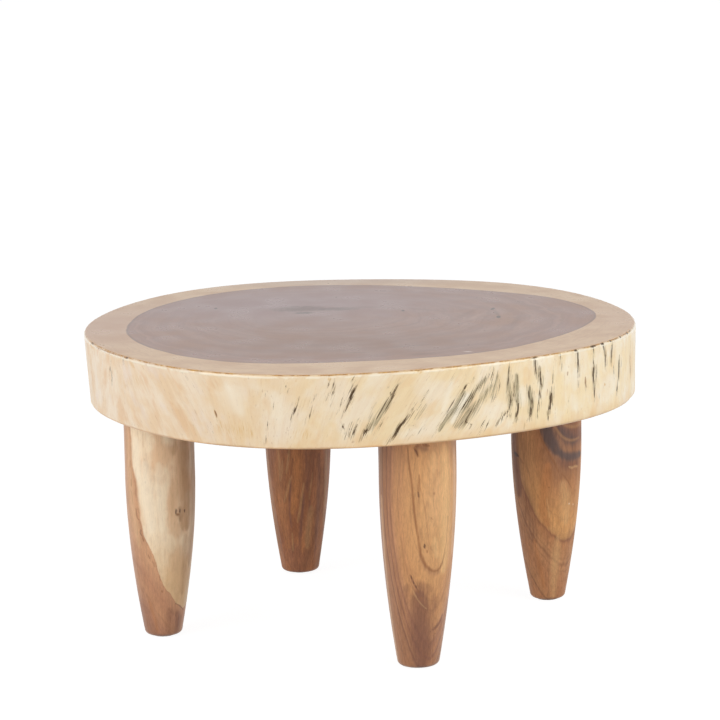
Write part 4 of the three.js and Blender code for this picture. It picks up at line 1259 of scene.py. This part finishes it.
def build_leg(place, centre):
    angle = full_turn(LEG_SEGMENTS)
    heights, insets = leg_rows()
    grid = np.broadcast_to(angle, (len(heights), LEG_SEGMENTS))
    fade = np.clip(heights / CARVED_FADE_FOOT, 0, 1)
    fade = fade * np.clip((LEG_LENGTH - heights) / CARVED_FADE_TOP, 0, 1)
    radius = leg_profile(place, heights) - insets + carved(place, grid, heights) * fade
    local = [ring_points(r, h, angle) for r, h in zip(radius, heights[:, 0])]
    local += [ring_points(BOLT_HOLE_RADIUS, height, angle) for height in (LEG_LENGTH, LEG_HOLE_FLOOR)]
    local = np.array(local[::-1])
    rings = local + np.array([0, 0, GLIDE_THICKNESS])
    rings[..., :2] += np.array(centre) + leg_drift(place, local[..., 2])
    piece = lathe("turned_leg_" + place, rings)
    bole = np.vstack([local.reshape(-1, 3), [[0, 0, LEG_HOLE_FLOOR], [0, 0, 0]]])
    bole[:, 2] += GLIDE_THICKNESS
    mark_leg(piece, place, bole)
    return piece


def mark_leg(piece, place, bole):
    """What the leg's material reads at each point; bole holds the points from the leg's own axis."""
    mark(piece, "bole", bole)
    directions = np.arctan2(bole[:, 1], bole[:, 0])
    heights = bole[:, 2]
    cover = covers(directions, heights, lambda z: leg_profile(place, z - GLIDE_THICKNESS),
                   strokes_of(LEG_MARKS[place]), LEG_KINDS)
    for kind, values in cover.items():
        mark(piece, kind, values)
    sapwood = np.full(len(bole), SAPWOOD_NONE)
    if place == SAPWOOD_LEG:
        sapwood = sapwood_depth(directions, heights)
    mark(piece, "sapwood", sapwood)


def sapwood_depth(directions, heights):
    """How far points lie inside the sapwood, in millimetres along the surface, negative outside it."""
    degrees = np.degrees(directions)
    above = heights > around(SAPWOOD_FOOT, directions)
    nearest = np.full(len(heights), float(-SAPWOOD_NONE))
    for (a0, z0), (a1, z1) in zip(SAPWOOD_FOOT[:-1], SAPWOOD_FOOT[1:]):
        run_end = math.radians(a1 - a0) * SAPWOOD_ROUND
        off = np.radians(turn_from(degrees, (a0 + a1) / 2)) * SAPWOOD_ROUND + run_end / 2
        length = math.hypot(run_end, z1 - z0)
        along = np.clip((off * run_end + (heights - z0) * (z1 - z0)) / length ** 2, 0, 1)
        apart = np.hypot(off - along * run_end, heights - z0 - along * (z1 - z0))
        nearest = np.minimum(nearest, apart)
    return np.where(above, nearest, -nearest)


def ring_colours(s, distance, rings):
    """The colour at a distance from the pith, from stops of a distance and its colour."""
    near, far = rings[0][0], rings[-1][0]
    share = s.math("DIVIDE", s.add(distance, -near), far - near)
    ramp = s.node("ShaderNodeValToRGB", {0: share})
    stops = ramp.color_ramp.elements
    for stop, (_, *rgb) in zip(stops, (rings[0], rings[-1])):
        stop.color = colour(*rgb)
    for reach, *rgb in rings[1:-1]:
        stops.new((reach - near) / (far - near)).color = colour(*rgb)
    return ramp.outputs["Color"]


def pith_distance(s, here, height_up, look):
    """The distance from the pith's line, with a wobble."""
    run = s.add(height_up, -RINGS_HEIGHT)
    drift = s.node("ShaderNodeVectorMath", {0: (*look["drift"], 0), 3: run}, operation="SCALE").outputs[0]
    pith = s.moved(drift, (*look["pith"], 0))
    distance = s.length(s.scaled(s.vector("SUBTRACT", here, pith), (1, 1, 0)))
    return s.add(distance, s.swing(s.streaks(here, 0.045, 0.014, 3), look["wobble"] * 2))


def with_sapwood(s, wood, here, height_up, mottle, fibre):
    """The wood with the pale sapwood and its border, and how far each place is in the sapwood."""
    teeth = s.streaks(here, 0.22, 0.12, 4, 0.7)
    inside = s.add(s.add(s.attribute("sapwood"), s.swing(mottle, 7.0)), s.swing(teeth, 5.0))
    inside = s.math("DIVIDE", inside, s.steps(height_up, 120.0, 200.0, 1.0, 3.0))
    cloud = s.streaks(s.moved(here, (200, 0, 0)), 0.035, 0.02, 3)
    pale = s.mix(s.steps(cloud, 0.4, 0.62), colour(252, 230, 198), colour(236, 200, 162))
    pale = s.tint(pale, fibre, 0.48, 0.65, 0.2, 222, 184, 142)
    low = s.steps(s.add(height_up, s.times(mottle, 60.0)), 185.0, 95.0)
    pale = s.mix(s.times(low, 0.8), pale, colour(220, 184, 140))
    edge = s.times(s.steps(s.apart(inside, -0.6), 1.5, 0.0, 0.0, 0.45), s.steps(teeth, 0.4, 0.6))
    in_sap = s.steps(inside, -0.7, 0.7)
    return s.mix(edge, s.mix(in_sap, wood, pale), colour(160, 108, 76)), in_sap


def with_marks(s, wood, fibre, fine):
    """The wood with its marks of every kind, each with ragged edges."""
    ragged = s.add(s.swing(fibre, 1.4), s.swing(fine, 0.6))
    for kind in LEG_KINDS:
        rgb, weight, crisp = LEG_TINTS[kind]
        held = s.attribute(kind)
        cover = s.add(held, s.times(ragged, 0.3 + 0.25 * crisp))
        cover = s.steps(cover, 0.05 + 0.15 * crisp, 1.0 - 0.2 * crisp, 0.0, weight)
        wood = s.mix(s.times(cover, s.steps(held, 0.01, 0.25)), wood, colour(*rgb))
    return wood


def leg_material(place):
    look = LEG_RINGS[place]
    s = new_material("leg_wood_" + place)
    here = s.attribute("bole", "Vector")
    height_up = s.node("ShaderNodeSeparateXYZ", {0: here}).outputs["Z"]
    fibre = s.streaks(here, 0.3, 0.03, 4, 0.6, 0.4)
    flecks = s.streaks(here, 0.62, 0.11, 4, 0.7, 0.5)
    fine = s.streaks(here, 1.2, 0.1, 3, 0.65)
    mottle = s.streaks(here, 0.06, 0.03, 4, 0.6)
    pores = s.streaks(here, 1.1, 0.16, 2)

    distance = pith_distance(s, here, height_up, look)
    wood = ring_colours(s, distance, look["rings"])
    wood = s.tint(wood, s.line_noise(distance, 0.9, 2.0), 0.5, 0.75, look["bands"], 120, 78, 52)
    wood, in_sap = with_sapwood(s, wood, here, height_up, mottle, fibre)
    wood = with_marks(s, wood, fibre, fine)

    grain = look["grain"]
    wood = s.tint(wood, mottle, 0.5, 0.7, 0.3 * grain, 150, 100, 68)
    wood = s.tint(wood, pores, 0.62, 0.72, 0.3 * grain, 96, 60, 40)
    shown = s.steps(in_sap, 0.0, 1.0, grain, 0.4 * grain)
    light = s.add(s.steps(flecks, 0.32, 0.68, 0.15, -0.18), s.steps(fibre, 0.32, 0.68, 0.1, -0.14))
    light = s.add(1.0, s.times(light, shown))
    inputs = {"Saturation": LEG_SATURATION, "Value": light, "Color": wood}
    wood = s.node("ShaderNodeHueSaturation", inputs).outputs[0]

    height = s.add(s.add(s.times(fibre, 0.6), s.times(fine, 0.5)), s.times(pores, -0.4))
    rough = s.steps(fibre, 0.3, 0.75, 0.38 - look["gloss"], 0.52 - look["gloss"])
    return s.finish(wood, rough, s.bump(height, 0.22), IOR=1.5)


# The hardware inside the joints, and the felt under the feet

MACHINE_PITCH, MACHINE_DEPTH = 1.5, 0.55
MACHINE_START = 1
WOOD_PITCH, WOOD_DEPTH = 3.6, 1
WOOD_START, WOOD_RUN_IN = 4, 3
WOOD_TIP_SHARE = 0.3
INSERT_PITCH, INSERT_DEPTH = 3.2, 0.9
INSERT_CREST = 0.6
INSERT_GROOVE_SHARE = 0.6
INSERT_CHAMFER = 0.3
THREAD_STEP = 0.37
GLIDE_EDGE = [
    (7, 2), (0.9, 2), (0.35, 1.85), (0.1, 1.5), (0.1, 0.6), (0.3, 0.2), (0.9, 0.02), (2, 0), (7, 0),
]
GLIDE_UNEVEN = 0.12
GLIDE_WAVES = ((5, 30), 8)
BOLT_COLUMNS, INSERT_COLUMNS, GLIDE_COLUMNS = 40, 60, 72


def thread_cut(angle, height, pitch, depth, crest=1):
    """How far a thread cuts in at each place; a bigger crest makes a sharper ridge."""
    way = (height / pitch - angle / (2 * math.pi)) % 1
    return depth * np.abs(2 * way - 1) ** crest


def build_bolt(place, centre):
    angle = full_turn(BOLT_COLUMNS)
    heights = np.arange(-BOLT_LENGTH_IN_LEG, BOLT_LENGTH_IN_SLAB, THREAD_STEP)
    rings = []
    for height in [BOLT_LENGTH_IN_SLAB, *heights[::-1]]:
        point = np.clip((height + BOLT_LENGTH_IN_LEG) / BOLT_TIP_LENGTH, 0, 1)
        radius = BOLT_TIP_RADIUS + (BOLT_RADIUS - BOLT_TIP_RADIUS) * point
        radius = min(radius, BOLT_RADIUS - BOLT_CHAMFER + (BOLT_LENGTH_IN_SLAB - height))
        if height > MACHINE_START:
            cut = thread_cut(angle, height, MACHINE_PITCH, MACHINE_DEPTH)
        else:
            run_in = min(1, max(0, -height - WOOD_START) / WOOD_RUN_IN)
            ridge = thread_cut(angle, height, WOOD_PITCH, 1)
            cut = WOOD_DEPTH * (1 - ridge ** 3) * run_in * max(point, WOOD_TIP_SHARE)
        rings.append(ring_points(radius - cut, SLAB_UNDERSIDE_Z + height, angle, centre))
    return lathe("hanger_bolt_thread_" + place, rings, sharp_angle=50)


def build_insert(place, centre):
    angle = full_turn(INSERT_COLUMNS)
    side = math.pi / 3
    hexagon = (BOLT_HOLE_RADIUS + INSERT_HEX_REACH) / np.cos((angle + side / 2) % side - side / 2)
    flange = INSERT_RADIUS + INSERT_FLANGE_REACH
    groove = MACHINE_DEPTH * INSERT_GROOVE_SHARE
    profile = [(INSERT_RADIUS - thread_cut(angle, height, INSERT_PITCH, INSERT_DEPTH, INSERT_CREST), height)
               for height in np.arange(INSERT_LENGTH, INSERT_FLANGE_THICKNESS, -THREAD_STEP)]
    profile += [
        (INSERT_RADIUS - INSERT_DEPTH, INSERT_FLANGE_THICKNESS),
        (flange - INSERT_CHAMFER, INSERT_FLANGE_THICKNESS),
        (flange, INSERT_FLANGE_THICKNESS - INSERT_CHAMFER),
        (flange, INSERT_CHAMFER),
        (flange - INSERT_CHAMFER, 0),
        (hexagon, 0),
        (hexagon, INSERT_HEX_DEPTH),
    ]
    profile += [(BOLT_HOLE_RADIUS + (groove - thread_cut(angle, height, MACHINE_PITCH, groove)), height)
                for height in np.arange(INSERT_HEX_DEPTH, INSERT_LENGTH, THREAD_STEP)]
    profile.append((BOLT_HOLE_RADIUS, INSERT_LENGTH))
    base = SLAB_UNDERSIDE_Z + CLEARANCE
    rings = [ring_points(radius, base + height, angle, centre) for radius, height in profile]
    return lathe("insert_sleeve_" + place, rings, close=True, sharp_angle=50)


def middle_of(node):
    """The middle of a CAD piece's box, seen from above."""
    low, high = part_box(node)
    return ((low + high) / 2 / MM).to_2d()


def build_glide(place):
    """A felt disc with a slightly uneven, softened edge."""
    angle = full_turn(GLIDE_COLUMNS)
    low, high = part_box("felt_glide_" + place)
    reach = (high - low).x / 2 / MM
    centre = middle_of("felt_glide_" + place)
    uneven = GLIDE_UNEVEN * waves(angle, *GLIDE_WAVES)
    rings = [ring_points(reach - inset + uneven * min(1, 1.2 - inset / 8), height, angle, centre)
             for inset, height in GLIDE_EDGE]
    return lathe("felt_disc_" + place, rings, sharp_angle=60)


def steel_material():
    s = new_material("zinc_plated_steel")
    here = s.place()
    cloudy = s.noise(here, 0.25, 4)
    speck = s.noise(here, 2.4)
    metal = s.mix(s.steps(cloudy, 0.4, 0.65), colour(186, 188, 190), colour(206, 205, 198))
    metal = s.tint(metal, speck, 0.62, 0.72, 0.5, 146, 146, 146)
    rough = s.steps(cloudy, 0.35, 0.7, 0.26, 0.42)
    return s.finish(metal, rough, s.bump(speck, 0.03), Metallic=1.0)


def felt_material():
    s = new_material("pressed_brown_felt")
    here = s.place()
    matted = s.noise(here, 0.9, 4, 0.7, 1.5)
    fibres = s.noise(s.scaled(here, (3, 0.6, 2)), 1, 3, 0.6, 2)
    felt = s.mix(s.steps(matted, 0.35, 0.65), colour(104, 78, 58), colour(138, 108, 84))
    felt = s.tint(felt, fibres, 0.6, 0.72, 0.6, 166, 138, 112)
    rough = s.steps(matted, 0.3, 0.7, 0.9, 1.0)
    return s.finish(felt, rough, s.bump(s.add(matted, fibres), 0.3, 0.9), Sheen_Weight=0.3)


# The stage, in metres

WORLD_LIGHT = 0.38
FLOOR_BOUNCE = 0.6
FLOOR_SHADOW = 0.2
FLOOR_GLOW = 0.93
FLOOR_REACH = 30
SOFTBOX_DIRECTIONS = {"softbox_left": -52, "softbox_right": 54}
SOFTBOX_ELEVATION = 18
SOFTBOX_DISTANCE = 3.4
SOFTBOX_SIZE = (2.6, 2)
SOFTBOX_WATTS = 58
SOFTBOX_AIM = Vector((0, 0, 0.25))


def build_camera():
    pitch = math.radians(CAMERA_PITCH)
    roll = math.radians(CAMERA_ROLL)
    right = Vector((1, 0, 0))
    forward = Vector((0, math.cos(pitch), -math.sin(pitch)))
    up = Vector((0, math.sin(pitch), math.cos(pitch)))
    camera_x = math.cos(roll) * right - math.sin(roll) * up
    camera_y = math.sin(roll) * right + math.cos(roll) * up
    rows = Matrix((camera_x, camera_y, -forward)).transposed()
    turned = Matrix.Rotation(math.radians(CAMERA_AZIMUTH), 3, "Z")
    place = turned @ Vector(CAMERA_PLACE) + Vector((*SLAB_CENTRE, 0))
    data = bpy.data.cameras.new("photo_camera")
    data.lens = CAMERA_LENS
    data.sensor_width = CAMERA_SENSOR
    data.clip_end = CAMERA_FAR
    camera = link("photo_camera", data)
    camera.matrix_world = Matrix.Translation(place * MM) @ (turned @ rows).to_4x4()
    bpy.context.scene.camera = camera


def build_softbox(name, azimuth):
    """An area light aimed at the table, its direction counted from the camera's."""
    turn = math.radians(CAMERA_AZIMUTH + azimuth)
    rise = math.radians(SOFTBOX_ELEVATION)
    back = Vector((math.sin(turn) * math.cos(rise), -math.cos(turn) * math.cos(rise), math.sin(rise)))
    data = bpy.data.lights.new(name, "AREA")
    data.shape = "RECTANGLE"
    data.size, data.size_y = SOFTBOX_SIZE
    data.energy = SOFTBOX_WATTS
    lamp = link(name, data)
    lamp.location = SOFTBOX_AIM + back * SOFTBOX_DISTANCE
    lamp.rotation_mode = "QUATERNION"
    lamp.rotation_quaternion = back.to_track_quat("Z", "Y")


def seen_directly(s):
    """1 for what the camera, a gloss or a glass sees, else 0."""
    path = s.node("ShaderNodeLightPath", {})
    seen = s.math("MAXIMUM", path.outputs["Is Camera Ray"], path.outputs["Is Glossy Ray"])
    return s.math("MAXIMUM", seen, path.outputs["Is Transmission Ray"])


def build_world():
    s = Shader(bpy.data.worlds.new("studio"))
    strength = s.math("MULTIPLY_ADD", seen_directly(s), 1 - WORLD_LIGHT, WORLD_LIGHT)
    background = s.node("ShaderNodeBackground", {"Color": (1, 1, 1, 1), "Strength": strength})
    bpy.context.scene.world = s.output(background, "ShaderNodeOutputWorld")


def floor_material():
    s = new_material("studio_floor")
    seen = seen_directly(s)
    bounce, shadow = [(grey, grey, grey, 1) for grey in (FLOOR_BOUNCE, FLOOR_SHADOW)]
    lit = s.node("ShaderNodeBsdfDiffuse", {"Color": s.mix(seen, bounce, shadow)})
    glow = s.node("ShaderNodeEmission", {"Color": (1, 1, 1, 1), "Strength": s.times(seen, FLOOR_GLOW)})
    return s.output(s.node("ShaderNodeAddShader", {0: lit.outputs[0], 1: glow.outputs[0]}))


def build_floor():
    mesh = bpy.data.meshes.new("floor")
    corners = [(x * FLOOR_REACH, y * FLOOR_REACH, 0) for x, y in [(-1, -1), (1, -1), (1, 1), (-1, 1)]]
    mesh.from_pydata(corners, [], [(0, 1, 2, 3)])
    mesh.materials.append(floor_material())
    link("floor", mesh)


def build_stage():
    bpy.context.scene.view_settings.view_transform = "Standard"
    build_camera()
    build_world()
    for name, azimuth in SOFTBOX_DIRECTIONS.items():
        build_softbox(name, azimuth)
    build_floor()


def settle(piece, slot, material, *nodes):
    piece.data.materials.clear()
    piece.data.materials.append(material)
    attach(piece, BODY)
    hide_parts(*nodes)


build_stage()
places = {place: middle_of("hanger_bolt_" + place) for place in LEG_SHARES}
settle(build_slab(places), "trunk_slice", trunk_material(), "slab_top")
steel = steel_material()
felt = felt_material()
for place, centre in places.items():
    settle(build_leg(place, centre), "leg_wood", leg_material(place), "leg_" + place)
    settle(build_bolt(place, centre), "zinc_steel", steel, "hanger_bolt_" + place)
    settle(build_insert(place, centre), "zinc_steel", steel, "threaded_insert_" + place)
    settle(build_glide(place), "brown_felt", felt, "felt_glide_" + place)
